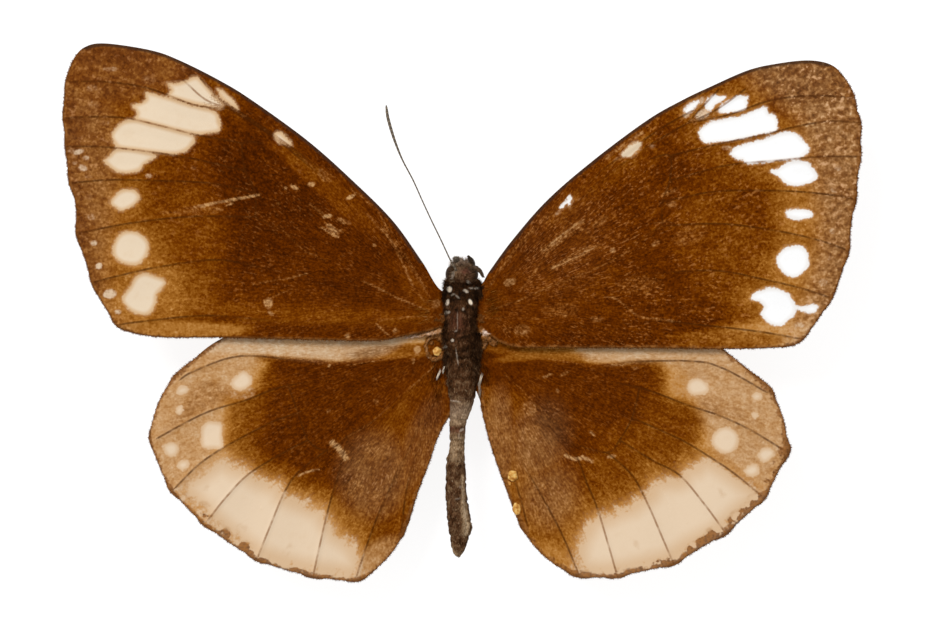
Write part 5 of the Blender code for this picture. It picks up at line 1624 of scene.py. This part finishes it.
# %% [markdown]
# ## The body's coat
# The scales lie backwards along the thorax and the abdomen, stand a little on the flanks, and form a fuzzy
# brush on the face. Longer hair points outward behind the eyes, at the collar and beside the wings' roots.
# Roots are picked among the skin's own vertices, more of them where more hair grows.
# %% Coat
HEAD_HAIR_WIDTHS = (0.012, 0.024)


def body_hairs(name, slot, roots, headings, lifts, lengths, widths, droop=0.25):
    """Hairs with the body's own markings, taken at each hair's middle."""
    coat = hairs(name, roots, headings, lifts, lengths, widths, unroll(roots), droop)
    variety = rng.normal(0.0, HAIR_VARIETY, len(roots))
    mark_body(coat, each_point(roots + headings * (lengths * 0.4)[:, None]), each_point(variety))
    show(coat, body_paint, slot)


def pick_roots(chance, count):
    """Pick places on the skin at random, more of them where chance is high."""
    chance = np.clip(chance, 0.0, None)
    picked = rng.choice(len(skin_places), count, replace=False, p=chance / chance.sum())
    return skin_places[picked], skin_normals[picked]


def lie_back(normals, spread):
    """A heading along the skin towards the tail, with some disorder."""
    back = np.array([0.0, -1.0, 0.0]) + rng.normal(0.0, spread, (len(normals), 3))
    back -= normals * (back * normals).sum(axis=1)[:, None]
    return unit(back, 1e-9)


def grow_coat():
    """The short hair of the thorax, the abdomen and the head."""
    y = skin_places[:, 1]
    roots, normals = pick_roots(ease(y, -4.3, -3.6) * ease(y, 2.6, 2.2), 6500)
    flank = np.clip(ease(roots[:, 2], 6.6, 5.4) + ease(np.abs(roots[:, 0] - BODY_X), 0.9, 1.3), 0.0, 1.0)
    lengths = (0.16 + 0.24 * flank) * rng.uniform(0.7, 1.3, len(roots))
    widths = rng.uniform(0.016, 0.030, len(roots))
    lifts = normals * (0.25 + 0.55 * flank)[:, None]
    body_hairs("thorax_coat", "body", roots, lie_back(normals, 0.3), lifts, lengths, widths)

    roots, normals = pick_roots(ease(y, -3.6, -4.4), 7500)
    lengths = 0.17 * rng.uniform(0.7, 1.25, len(roots))
    widths = rng.uniform(0.020, 0.038, len(roots))
    body_hairs("abdomen_coat", "abdomen", roots, lie_back(normals, 0.2), normals * 0.22, lengths, widths)

    roots, normals = pick_roots(ease(y, 2.2, 2.6) * (0.4 + ease(y, 3.3, 3.8)), 4200)
    forward = ease(roots[:, 1], 3.3, 3.9)
    heading = lie_back(normals, 0.45) * (1.0 - forward)[:, None] + normals * (0.6 * forward)[:, None]
    lengths = (0.13 + 0.24 * forward) * rng.uniform(0.6, 1.3, len(roots))
    widths = rng.uniform(*HEAD_HAIR_WIDTHS, len(roots))
    body_hairs("head_coat", "body", roots, heading, normals * 0.5, lengths, widths, 0.1)


def grow_tufts(name, chance, count, forward, outward, length):
    """Longer hair that points forward and away from the body's middle by the given amounts."""
    roots, normals = pick_roots(chance, count)
    side = np.sign(roots[:, 0] - BODY_X)
    headings = np.column_stack([side * outward, np.full(count, forward), np.full(count, 0.1)])
    headings += rng.normal(0.0, 0.25, (count, 3))
    lengths = length * rng.uniform(0.5, 1.3, count)
    widths = rng.uniform(*HEAD_HAIR_WIDTHS, count)
    body_hairs(name, "body", roots, headings, normals * 0.4, lengths, widths, 0.1)


grow_coat()
x, y, z = skin_places.T
off_middle = np.abs(x - BODY_X)
cheek = ease(off_middle, 0.3, 0.6) * ease(y, 2.3, 2.6) * ease(y, 3.9, 3.6) * ease(z, 5.9, 6.1)
collar = ease(off_middle, 0.5, 0.9) * ease(y, 1.8, 2.0) * ease(y, 2.9, 2.6) * ease(z, 5.2, 5.4)
flank = ease(off_middle, 0.85, 1.1) * ease(y, -5.8, -5.2) * ease(y, 1.4, 0.9) * ease(z, 5.1, 5.3)
grow_tufts("cheek_tufts", cheek, 900, -0.35, 0.9, 0.42)
grow_tufts("collar_tufts", collar, 900, 0.5, 0.8, 0.34)
grow_tufts("flank_tufts", flank * ease(z, 6.3, 6.1), 2000, -1.0, 0.40, 0.50)

# %% [markdown]
# ## The wings' hair
# Scales turn into hair towards a wing's root, and along its outer margin they stick out as a fringe of tiny
# blades. Both are painted with the wings' own browns, and each blade's patch on the map lies where its root
# is on the flat wing.
# %% Margin fringes and root hair
FRINGE_SPACING = 0.0375
FRINGE_DISORDER = 0.03
FRINGE_SINK = 0.06
ROOT_HAIR_FIELDS = (
    ("hindwing_left", (438, 374), (8, 30), 260, (-0.4, -1), 0.2),
    ("hindwing_right", (484, 370), (7, 28), 240, (0.3, -1), 0.22),
    ("forewing_left", (431, 312), (13, 13), 200, (-1, 0.1), 0.5),
    ("forewing_right", (487, 306), (12, 18), 220, (1, 0.25), 0.4),
)


def blade_finish():
    """The wings' browns, by tone."""
    finish = Finish("wing_hair", Roughness=0.65, Specular_IOR_Level=0.0)
    grain = finish.noise(finish.place(), 0.12 * MM)
    tone = finish.attribute("tone") + (grain - 0.5) * 0.3
    return finish.dress(finish.ramp(tone, BROWNS), grain, 0.01 * MM, 0.5)


def wing_blades(name, points, wing, headings, lengths, widths, tones, lift):
    """Blades that start on a wing at points of its plan."""
    roots = np.column_stack([points, wing_lift(points, wing)])
    flat = unit(np.column_stack([headings, np.full(len(points), lift)]))
    up = np.tile([0.0, 0.0, 0.15], (len(points), 1))
    low, high = wing["margin"].min(axis=0), wing["margin"].max(axis=0)
    home = (points - low) / (high - low).max() * 0.97 + 0.015
    blades = hairs(name, roots, flat, up, lengths, widths, home, 0.1)
    store(blades, "tone", each_point(tones))
    show(blades, wing_hair, wing["slot"])


def grow_fringe(wing):
    """Blades along the outer margin, pointing outward."""
    marks = lengths_along(wing["margin"])
    at = np.arange(0.0, marks[-1], FRINGE_SPACING)
    at = at + rng.uniform(-FRINGE_DISORDER, FRINGE_DISORDER, len(at))
    table = np.column_stack([wing["margin"], -wing["inward"], wing["at_margin"]])
    rows = np.column_stack([np.interp(at, marks, column) for column in table.T])
    rows = rows[rows[:, 4] > 0.25]
    points, outward = rows[:, :2], rows[:, 2:4]
    outward = outward + rng.normal(0.0, 0.25, outward.shape)
    lengths = rng.uniform(0.10, 0.22, len(points))
    tones = rng.normal(0.36, 0.16, len(points))
    wing_blades(wing["name"] + "_fringe", points - outward * FRINGE_SINK, wing, outward, lengths,
                rng.uniform(0.022, 0.04, len(points)), tones, 0.0)


def grow_root_hair(name, middle, size, count, heading, tone):
    """A loose bunch of hair at a wing's root. Middle and size are in squares."""
    paper = np.array(middle) + rng.normal(0.0, 0.45, (count, 2)) * np.array(size)
    headings = np.array(heading) + rng.normal(0.0, 0.22, (count, 2))
    wing_blades(name + "_root_hair", squares(paper), WINGS[name], headings, rng.uniform(0.4, 0.9, count),
                rng.uniform(0.014, 0.026, count), rng.normal(tone, 0.14, count), 0.12)


wing_hair = blade_finish()
for wing in WINGS.values():
    grow_fringe(wing)
for field in ROOT_HAIR_FIELDS:
    grow_root_hair(*field)

# %% [markdown]
# ## Wing hinges
# Where a wing meets the thorax, small plates and folds of bare skin carry it. When the wings are spread the
# skin between them is pulled into folds, pale and pinkish where it is rubbed. The folds are balls, a tube
# and a ring melted into one skin, so that they close the gap without an edge, and short down covers them.
# %% Hinges
HINGE_VOXEL = 0.07
HINGE_HAIRS = 2200
CREASE_DEPTH = 0.05
HINGE_SHADES = shades(
    (0.0, 58, 32, 10), (0.3, 120, 68, 20), (0.55, 168, 114, 62), (0.75, 204, 158, 118), (1.0, 234, 208, 190),
)
FOLD_BALLS = (
    ((-1.75, -1.15, 5.78), (0.72, 0.5, 0.4)), ((-1.62, -1.85, 5.62), (0.5, 0.45, 0.28)),
    ((-1.55, -0.35, 6.05), (0.45, 0.55, 0.26)), ((-2.15, -0.6, 6.1), (0.6, 0.3, 0.18)),
    ((-2.42, -2.4, 5.66), (0.15, 0.13, 0.12)), ((1.6, -1.2, 5.85), (0.7, 0.46, 0.36)),
    ((1.55, -2.4, 5.55), (0.4, 0.6, 0.26)), ((1.55, -0.4, 6.08), (0.5, 0.6, 0.26)),
    ((1.95, -1.9, 5.8), (0.62, 0.4, 0.28)), ((1.62, -1.42, 6.1), (0.34, 0.24, 0.22)),
    ((2.05, -1.62, 6.1), (0.3, 0.2, 0.18)), ((1.75, -1.95, 5.98), (0.26, 0.36, 0.2)),
    ((2.45, -2.35, 5.76), (0.34, 0.26, 0.16)),
)
FOLD_TUBE = (
    (-4.7, -2.02, 5.96, 0.03), (-4, -1.92, 5.98, 0.1), (-3.2, -1.76, 6.02, 0.15), (-2.4, -1.6, 6.06, 0.19),
    (-1.7, -1.42, 6.05, 0.24),
)
RING_MIDDLE, RING_RADIUS, RING_THICKNESS, RING_STRETCH = (-2.2, -2.78, 5.64), 0.72, 0.14, 1.3


def hinge_finish():
    """Bare skin, from brown to pale pink."""
    finish = Finish("hinge_skin", Roughness=0.6, Specular_IOR_Level=0.05)
    place = finish.place()
    grain = finish.noise(place, 0.14 * MM, 3.0)
    clump = finish.noise(place, 0.5 * MM, 3.0)
    pale = finish.attribute("pale") + (grain - 0.5) * 0.4 + (clump - 0.5) * 0.6
    return finish.dress(finish.ramp(pale, HINGE_SHADES), grain + clump, 0.04 * MM, 1.0)


def hinge_tone(places):
    """How pale the hinges are at each place."""
    x, y, z = places.T
    fold = bell(y + 1.50 - (x + 1.9) * 0.19, 0.34) * ease(x, -1.35, -1.8)
    patch = np.exp(-(((x - 1.85) / 0.42) ** 2 + ((y + 1.5) / 0.35) ** 2)) * ease(z, 5.95, 6.1)
    pink = ease(x, 1.5, 1.7) * ease(y, -1.3, -1.6)
    ring_skin = ease(x, -1.5, -1.7) * ease(y, -1.8, -2.0)
    return 0.22 + 0.48 * fold + 0.72 * patch + 0.22 * pink + 0.22 * ring_skin


def fold_forms():
    """The balls, the tube and the ring that make the folds."""
    forms = [ball("fold_form", centre, radii, 24, 16) for centre, radii in FOLD_BALLS]
    forms.append(tube("fold_tube_form", FOLD_TUBE, 0.1, 4))
    clear_selection()
    bpy.ops.mesh.primitive_torus_add(
        location=RING_MIDDLE, major_radius=RING_RADIUS, minor_radius=RING_THICKNESS,
        major_segments=48, minor_segments=12)
    forms.append(bpy.context.object)
    resize(forms[-1], (1.0, RING_STRETCH, 1.0))
    return forms


def make_hinges():
    """Melt the folds into one skin, crease it, and cover it with down."""
    hinges = join(fold_forms(), "wing_hinges")
    apply(hinges, "REMESH", mode="VOXEL", voxel_size=HINGE_VOXEL)
    apply(hinges, "SMOOTH", factor=0.5, iterations=3)
    places, normals = places_of(hinges), normals_of(hinges)
    x, y, z = places.T
    creases = np.sin(x * 7.0 + y * 5.0) * np.sin(y * 9.0 - x * 3.0 + z * 4.0)
    creases += 0.6 * np.sin(x * 17.0 - y * 13.0)
    places += normals * (CREASE_DEPTH * creases)[:, None]
    put(hinges, places)
    store(hinges, "pale", hinge_tone(places))
    hinges.data.shade_smooth()
    finish = hinge_finish()
    show(hinges, finish, "body")
    picked = rng.choice(np.flatnonzero(normals[:, 2] > -0.3), HINGE_HAIRS, replace=False)
    roots, lifts = places[picked], normals[picked]
    headings = np.column_stack([np.sign(roots[:, 0]), np.full(HINGE_HAIRS, -0.5), np.zeros(HINGE_HAIRS)])
    headings += rng.normal(0.0, 0.35, headings.shape)
    headings -= lifts * (headings * lifts).sum(axis=1)[:, None]
    down = hairs("hinge_down", roots, headings, lifts * 0.35, rng.uniform(0.10, 0.24, HINGE_HAIRS),
                 rng.uniform(0.012, 0.022, HINGE_HAIRS), unroll(roots))
    store(down, "pale", each_point(hinge_tone(roots) + rng.normal(-0.05, 0.16, HINGE_HAIRS)))
    show(down, finish, "body")


make_hinges()

# %% [markdown]
# ## Beads of gum
# Gum has dried into a few amber beads on the hindwings. Each is a ball a little sunk in its wing, made
# lumpy by a slow wave along its normals.
# %% Beads
GUM_SHADES = shades((0.3, 164, 104, 36), (0.5, 216, 158, 76), (0.7, 240, 204, 126))
LUMP_DEPTH = 0.05
BEADS = (
    ("hindwing_left", -2.02, -3.12, (0.37, 0.38, 0.22)), ("hindwing_right", 4.04, -13.08, (0.4, 0.44, 0.2)),
    ("hindwing_right", 4.36, -15.76, (0.34, 0.5, 0.19)),
    ("hindwing_right", 3.78, -13.66, (0.15, 0.16, 0.1)),
)


def make_beads():
    """All the beads, as one piece."""
    finish = Finish("dried_gum", Roughness=0.4, Specular_IOR_Level=0.12)
    cloud = finish.noise(finish.place(), 0.25 * MM, 3.0)
    amber = finish.dress(finish.ramp(cloud, GUM_SHADES), cloud, 0.03 * MM, 0.6)
    drops = []
    for name, x, y, radii in BEADS:
        height = wing_lift(np.array([[x, y]]), WINGS[name])[0] + radii[2] * 0.3
        drops.append(ball("bead_form", (x, y, height), radii, 24, 16))
    beads = join(drops, "gum_beads")
    places = places_of(beads)
    lumps = np.sin(places[:, 0] * 9.0 + places[:, 2] * 7.0) * np.sin(places[:, 1] * 11.0)
    put(beads, places + normals_of(beads) * (LUMP_DEPTH * lumps)[:, None])
    beads.data.shade_smooth()
    show(beads, amber, "wing_lower")


make_beads()

# %% [markdown]
# ## Pale tufts
# Four bunches of long white hair stand where the abdomen meets the hindwings, two on each side. Each row
# says where a bunch is in squares, which way it points, how long it is, how many hairs it has and how white
# they are.
# %% Pale tufts
PALE_TUFTS = (
    ("hindwing_left", (436.9, 378.6), (0.34, 0.95), 0.88, 24, 0.95),
    ("hindwing_left", (442.4, 373), (0.28, 0.95), 0.6, 16, 0.85),
    ("hindwing_right", (479.3, 384.6), (0.28, 0.95), 0.95, 22, 0.9),
    ("hindwing_right", (479.2, 396), (0.04, 1), 1.05, 14, 0.45),
)
TUFT_RISE = 0.14
TUFT_WIDTH = 0.028


def make_pale_tufts():
    """The four bunches, as one piece."""
    bunches = []
    for name, middle, heading, length, count, white in PALE_TUFTS:
        points = squares(np.array(middle) + rng.normal(0.0, 0.45, (count, 2)))
        headings = np.array([*heading, 0.30]) + rng.normal(0.0, 0.07, (count, 3))
        lengths = length * rng.uniform(0.6, 1.15, count)
        heights = wing_lift(points, WINGS[name]) + TUFT_RISE
        bunches.append(np.column_stack([points, heights, headings, lengths, np.full(count, white)]))
    rows = np.concatenate(bunches)
    roots, headings, lengths = rows[:, :3], rows[:, 3:6], rows[:, 6]
    up = np.tile([0.0, 0.0, 0.25], (len(roots), 1))
    widths = np.full(len(roots), TUFT_WIDTH)
    tufts = hairs("pale_tufts", roots, headings, up, lengths, widths, unroll(roots), 0.3)
    mark_body(tufts, each_point(roots))
    tufts.data.attributes["white"].data.foreach_set("value", each_point(rows[:, 7]).astype(np.float32))
    show(tufts, body_paint, "body")


make_pale_tufts()

# %% [markdown]
# ## Eyes
# A compound eye is half a ball of thousands of small lenses. The ball here is pressed into a slightly
# drawn-out dome and its lenses are a cell pattern in the bump, because real ones are a fortieth of a
# millimetre across.
# %% Eyes
EYE_OFFSET = 0.72
EYE_RADII = (0.6, 0.78, 0.8)
EYE_FORWARD = 0.05
INNER_SHARE = 0.55
LENS_SIZE = 0.035
EYE_BLOOM = tint(168, 148, 132)


def eye_finish():
    """Dark lenses with a pale bloom at their edge."""
    finish = Finish("eye_lenses", Roughness=0.5, Specular_IOR_Level=0.05)
    place = finish.place()
    facets = finish.cells(place, 1.0 / (LENS_SIZE * MM), "Distance")
    patch = finish.noise(place, 0.25 * MM, 3.0)
    colour = finish.ramp(patch, shades((0.3, 22, 14, 7), (0.7, 70, 47, 28)))
    colour = finish.mix(finish.attribute("white") * patch.rise(0.3, 0.6), colour, EYE_BLOOM)
    return finish.dress(colour, 1.0 - facets, 0.01 * MM, 0.6)


def make_eye(name, side, finish):
    """One eye, on the side given by -1 or 1."""
    x, y, z = HEAD_CENTRE
    globe = ball(name + "_globe", (0.0, 0.0, 0.0), (1.0, 1.0, 1.0))
    places = places_of(globe)
    outward = np.clip(places[:, 0] * side, -1.0, 1.0)
    places[:, 0] *= np.where(outward > 0.0, 1.0, INNER_SHARE)
    places *= np.array(EYE_RADII) * (1.0 - 0.05 * ease(outward, 0.3, 0.0))[:, None]
    places += np.array([x + side * EYE_OFFSET, y + EYE_FORWARD, z])
    put(globe, places)
    store(globe, "white", body_tone(places)[1])
    globe.data.shade_smooth()
    show(globe, finish, "eye", name)


lens_finish = eye_finish()
make_eye("eye_left", -1.0, lens_finish)
make_eye("eye_right", 1.0, lens_finish)

# %% [markdown]
# ## Feelers, palps and tongue
# One feeler is whole and the other has broken off at its base, so the right one is a short bent stub. A
# crow butterfly's feeler is a thin jointed thread that thickens slowly into a slim club. The two palps
# stand up in front of the face, and the tongue is coiled under the head like a watch spring.
# %% Head limbs
ANTENNA = (
    (-0.46, 3.3, 6.45, 0.11), (-0.6, 3.6, 6.75, 0.1), (-1, 4.3, 7.1, 0.062), (-1.72, 5.84, 7.45, 0.056),
    (-2.5, 7.44, 7.75, 0.056), (-3.24, 9.04, 8, 0.056), (-3.96, 10.64, 8.2, 0.06),
    (-4.8, 12.24, 8.38, 0.07), (-5.44, 13.84, 8.5, 0.11), (-5.92, 15.44, 8.56, 0.13),
    (-6.06, 16.3, 8.58, 0.1), (-6.1, 16.62, 8.58, 0.03),
)
ANTENNA_STUB = (
    (0.36, 3.32, 6.35, 0.12), (0.68, 3.62, 6.72, 0.13), (1.08, 3.62, 6.92, 0.17), (1.42, 3.34, 6.94, 0.16),
    (1.66, 2.9, 6.88, 0.07),
)
PALP_LEFT = (
    (-0.3, 3.7, 5.25, 0.2), (-0.34, 4.12, 5.35, 0.26), (-0.4, 4.26, 5.75, 0.22), (-0.5, 4.3, 6.1, 0.14),
    (-0.62, 4.38, 6.35, 0.03),
)
PALP_RIGHT = (
    (0.62, 3.55, 5.45, 0.24), (0.72, 3.9, 5.6, 0.29), (0.68, 4.18, 5.9, 0.22), (0.58, 4.38, 6.2, 0.12),
    (0.46, 4.56, 6.45, 0.03),
)
ANTENNA_JOINTS = 42
STUB_JOINTS = 5
TONGUE_RINGS = 90
TONGUE_TURNS = 1.6
TONGUE_STEPS = 22
TONGUE_RADIUS, TONGUE_TIGHTENING = 0.66, 0.62
TONGUE_THICKNESS, TONGUE_TAPER = 0.11, 0.45
TONGUE_CENTRE = (-0.02, 3.75, 3.75)


def limb_finish(name, dark, pale, rings=0.0):
    """Chitin or scales from dark to pale, with a pale band at each of the rings along the limb."""
    finish = Finish(name, Roughness=0.5, Specular_IOR_Level=0.2)
    grain = finish.noise(finish.place(), 0.12 * MM, 3.0)
    value = (grain - 0.5) * 0.8 + 0.35
    if rings:
        phase = finish.attribute("along") * rings
        value = value + phase.math("SINE", phase).rise(0.2, 0.9) * 0.55
    colour = finish.ramp(value, ((0.0, dark), (1.0, pale)))
    return finish.dress(colour, grain, 0.01 * MM, 0.6)


def jointed(count, depth=0.22):
    """A swelling and a waist for each of a limb's joints."""
    return lambda along, length: 1.0 - depth * abs(math.cos(math.pi * count * along / length)) ** 6


def tongue_stations():
    """A short way down from the mouth, and then a spiral that tightens and thins."""
    x, y, z = TONGUE_CENTRE
    stations = [(x, 3.25, 5.15, 0.13), (x, 3.30, 4.7, 0.12)]
    for step in range(TONGUE_STEPS):
        share = step / (TONGUE_STEPS - 1)
        angle = math.radians(150.0) - 2.0 * math.pi * TONGUE_TURNS * share
        radius = TONGUE_RADIUS * (1.0 - TONGUE_TIGHTENING * share)
        stations.append((x + 0.02 * share, y + radius * math.cos(angle), z + radius * math.sin(angle),
                         TONGUE_THICKNESS * (1.0 - TONGUE_TAPER * share)))
    return stations


feeler_rings = ANTENNA_JOINTS * 2.0 * math.pi
feeler_finish = limb_finish("feeler_chitin", tint(46, 36, 26), tint(136, 120, 100), feeler_rings)
dark_chitin = limb_finish("dark_chitin", tint(30, 20, 12), tint(86, 62, 42))
dark_scales = limb_finish("dark_scales", tint(38, 25, 14), tint(122, 92, 62))
grey_scales = limb_finish("grey_scales", tint(88, 72, 56), tint(206, 190, 168))
HEAD_LIMBS = (
    ("feeler_left", ANTENNA, 0.06, 3, jointed(ANTENNA_JOINTS, 0.12), feeler_finish, "antenna_left"),
    ("feeler_stub_right", ANTENNA_STUB, 0.05, 3, jointed(STUB_JOINTS), dark_scales, "antenna_stub_right"),
    ("palp_left_core", PALP_LEFT, 0.05, 4, None, grey_scales, "palp_left"),
    ("palp_right_core", PALP_RIGHT, 0.05, 4, None, dark_chitin, "palp_right"),
    ("tongue", tongue_stations(), 0.04, 3, jointed(TONGUE_RINGS, 0.12), dark_chitin, "proboscis"),
)
for name, stations, step, sides, swell, finish, node in HEAD_LIMBS:
    show(tube(name, stations, step, sides, swell), finish, "limb", node)

# %% [markdown]
# ## Scales on the limbs
# Only the feeler and the tongue are bare. The palps are brushes of long scales, and the legs wear short
# ones that point towards the foot. A scale's root is picked along the limb and round it, and its patch on
# the map is at that same place on the limb laid out flat.
# %% Limb scales
SIDEWAYS = (0.31, 0.17, 0.93)


def limb_scales(name, limbs, finish, density, length, lift):
    """Cover limbs with scales: so many to a millimetre of limb, pointing towards its tip."""
    fields = []
    for index, stations in enumerate(limbs):
        line = smooth_line(stations, 0.05)
        marks = lengths_along(line)
        count = int(density * marks[-1])
        at, turn = rng.uniform(0.0, marks[-1], count), rng.uniform(0.0, 2.0 * math.pi, count)
        table = np.column_stack([line, np.gradient(line[:, :3], axis=0)])
        x, y, z, radius, *slope = (np.interp(at, marks, column) for column in table.T)
        along = unit(np.column_stack(slope))
        side = unit(np.cross(along, SIDEWAYS))
        normal = side * np.cos(turn)[:, None] + np.cross(side, along) * np.sin(turn)[:, None]
        root = np.column_stack([x, y, z]) + normal * (radius * 0.93)[:, None]
        heading = along + rng.normal(0.0, 0.2, along.shape)
        home = np.column_stack([turn / 6.4 + 0.008, (index + at / marks[-1] * 0.96 + 0.02) / len(limbs)])
        fields.append(np.column_stack([root, normal, heading, home]))
    rows = np.concatenate(fields)
    lengths = length * rng.uniform(0.6, 1.3, len(rows))
    widths = rng.uniform(0.014, 0.026, len(rows))
    scales = hairs(name, rows[:, :3], rows[:, 6:9], rows[:, 3:6] * lift, lengths, widths, rows[:, 9:])
    show(scales, finish, "limb")


limb_scales("palp_left_scales", (PALP_LEFT,), grey_scales, 700, 0.22, 0.6)
limb_scales("palp_right_scales", (PALP_RIGHT,), dark_scales, 480, 0.14, 0.35)
limb_scales("stub_scales", (ANTENNA_STUB,), dark_scales, 260, 0.12, 0.3)

# %% [markdown]
# ## Legs
# A crow butterfly walks on four legs and keeps the small front pair folded against its chest. Each walking
# leg has a thick thigh, a thin shin with two spurs, a foot of five joints and a pair of claws. The feet
# rest on the floor. The table gives the left and right legs' common stations, part by part: thigh, upper
# shin, lower shin and foot.
# %% Legs
LEGS = {
    "midleg": (
        ((0.5, -0.8, 4.4, 0.26), (1.25, -0.75, 3.4, 0.24), (1.7, -0.5, 3.1, 0.13)),
        ((1.7, -0.5, 3.1, 0.12), (3, 0.4, 3.75, 0.2), (4.5, 1.35, 4.3, 0.13), (5, 1.55, 4.05, 0.09)),
        ((4.9, 1.52, 4.1, 0.08), (6.3, 2.2, 2.2, 0.1), (7.4, 2.8, 0.55, 0.08), (7.9, 3.05, 0.12, 0.07)),
        ((7.9, 3.05, 0.12, 0.07), (8.5, 3.33, 0.1, 0.085), (10.2, 4.1, 0.09, 0.07)),
    ),
    "hindleg": (
        ((0.5, -2.5, 4.4, 0.26), (1.15, -2.6, 3.45, 0.24), (1.6, -2.9, 3.1, 0.13)),
        ((1.6, -2.9, 3.1, 0.12), (2.8, -4.1, 3.6, 0.2), (4, -5.3, 4.05, 0.13), (4.45, -5.75, 3.8, 0.09)),
        ((4.35, -5.65, 3.85, 0.08), (5.6, -7.2, 2.1, 0.1), (6.6, -8.4, 0.55, 0.08),
         (6.95, -8.8, 0.12, 0.07)),
        ((6.95, -8.8, 0.12, 0.07), (7.4, -9.3, 0.1, 0.085), (8.7, -10.8, 0.09, 0.07)),
    ),
    "foreleg": (
        ((0.3, 0.8, 4.5, 0.2), (0.45, 1.1, 3.85, 0.16), (0.52, 1.7, 3.5, 0.1)),
        ((0.52, 1.7, 3.5, 0.1), (0.56, 2.5, 3.6, 0.12), (0.58, 2.85, 3.35, 0.08)),
        ((0.58, 2.8, 3.38, 0.08), (0.55, 2.6, 2.95, 0.08), (0.5, 1.9, 2.7, 0.05)),
    ),
}
FOOT_JOINTS = 5
SIDES = (("left", -1.0), ("right", 1.0))


def mirrored(stations, side):
    """The same stations on one side of the body."""
    return [(BODY_X + side * (x - BODY_X), y, z, radius) for x, y, z, radius in stations]


def claws_and_spurs(kind, side):
    """A walking leg's two claws, which end on the floor, and the two spurs of its shin."""
    foot, shin = LEGS[kind][3], LEGS[kind][2]
    reach = Vector(foot[-1][:2]) - Vector(foot[0][:2])
    reach.normalize()
    x, y, z = foot[-1][:3]
    for bend in (-0.35, 0.35):
        ahead = Vector((reach.x - reach.y * bend, reach.y + reach.x * bend))
        claw = ((x, y, z, 0.045), (x + ahead.x * 0.14, y + ahead.y * 0.14, z + 0.05, 0.03),
                (x + ahead.x * 0.24, y + ahead.y * 0.24, 0.03, 0.012))
        yield tube("claw", mirrored(claw, side), 0.04, 2)
    x, y, z = shin[-2][:3]
    for bend in (-0.5, 0.5):
        spur = ((x, y, z, 0.035), (x + 0.22 * reach.x, y + 0.22 * reach.y + 0.12 * bend, z - 0.22, 0.008))
        yield tube("spur", mirrored(spur, side), 0.08, 2)


def make_leg(kind, side_name, side):
    """One leg, as one piece."""
    parts = []
    for index, stations in enumerate(LEGS[kind]):
        swell = jointed(FOOT_JOINTS, 0.35) if index == 3 else None
        parts.append(tube("leg_part", mirrored(stations, side), 0.1, 3, swell))
    if len(LEGS[kind]) == 4:
        parts += claws_and_spurs(kind, side)
    show(join(parts, f"{kind}_{side_name}_jointed"), dark_chitin, "limb", f"{kind}_{side_name}")


for kind in LEGS:
    for side_name, side in SIDES:
        make_leg(kind, side_name, side)
leg_lines = [mirrored(stations, side) for _, side in SIDES for kind in LEGS for stations in LEGS[kind]]
limb_scales("leg_scales", leg_lines, dark_scales, 170, 0.15, 0.35)
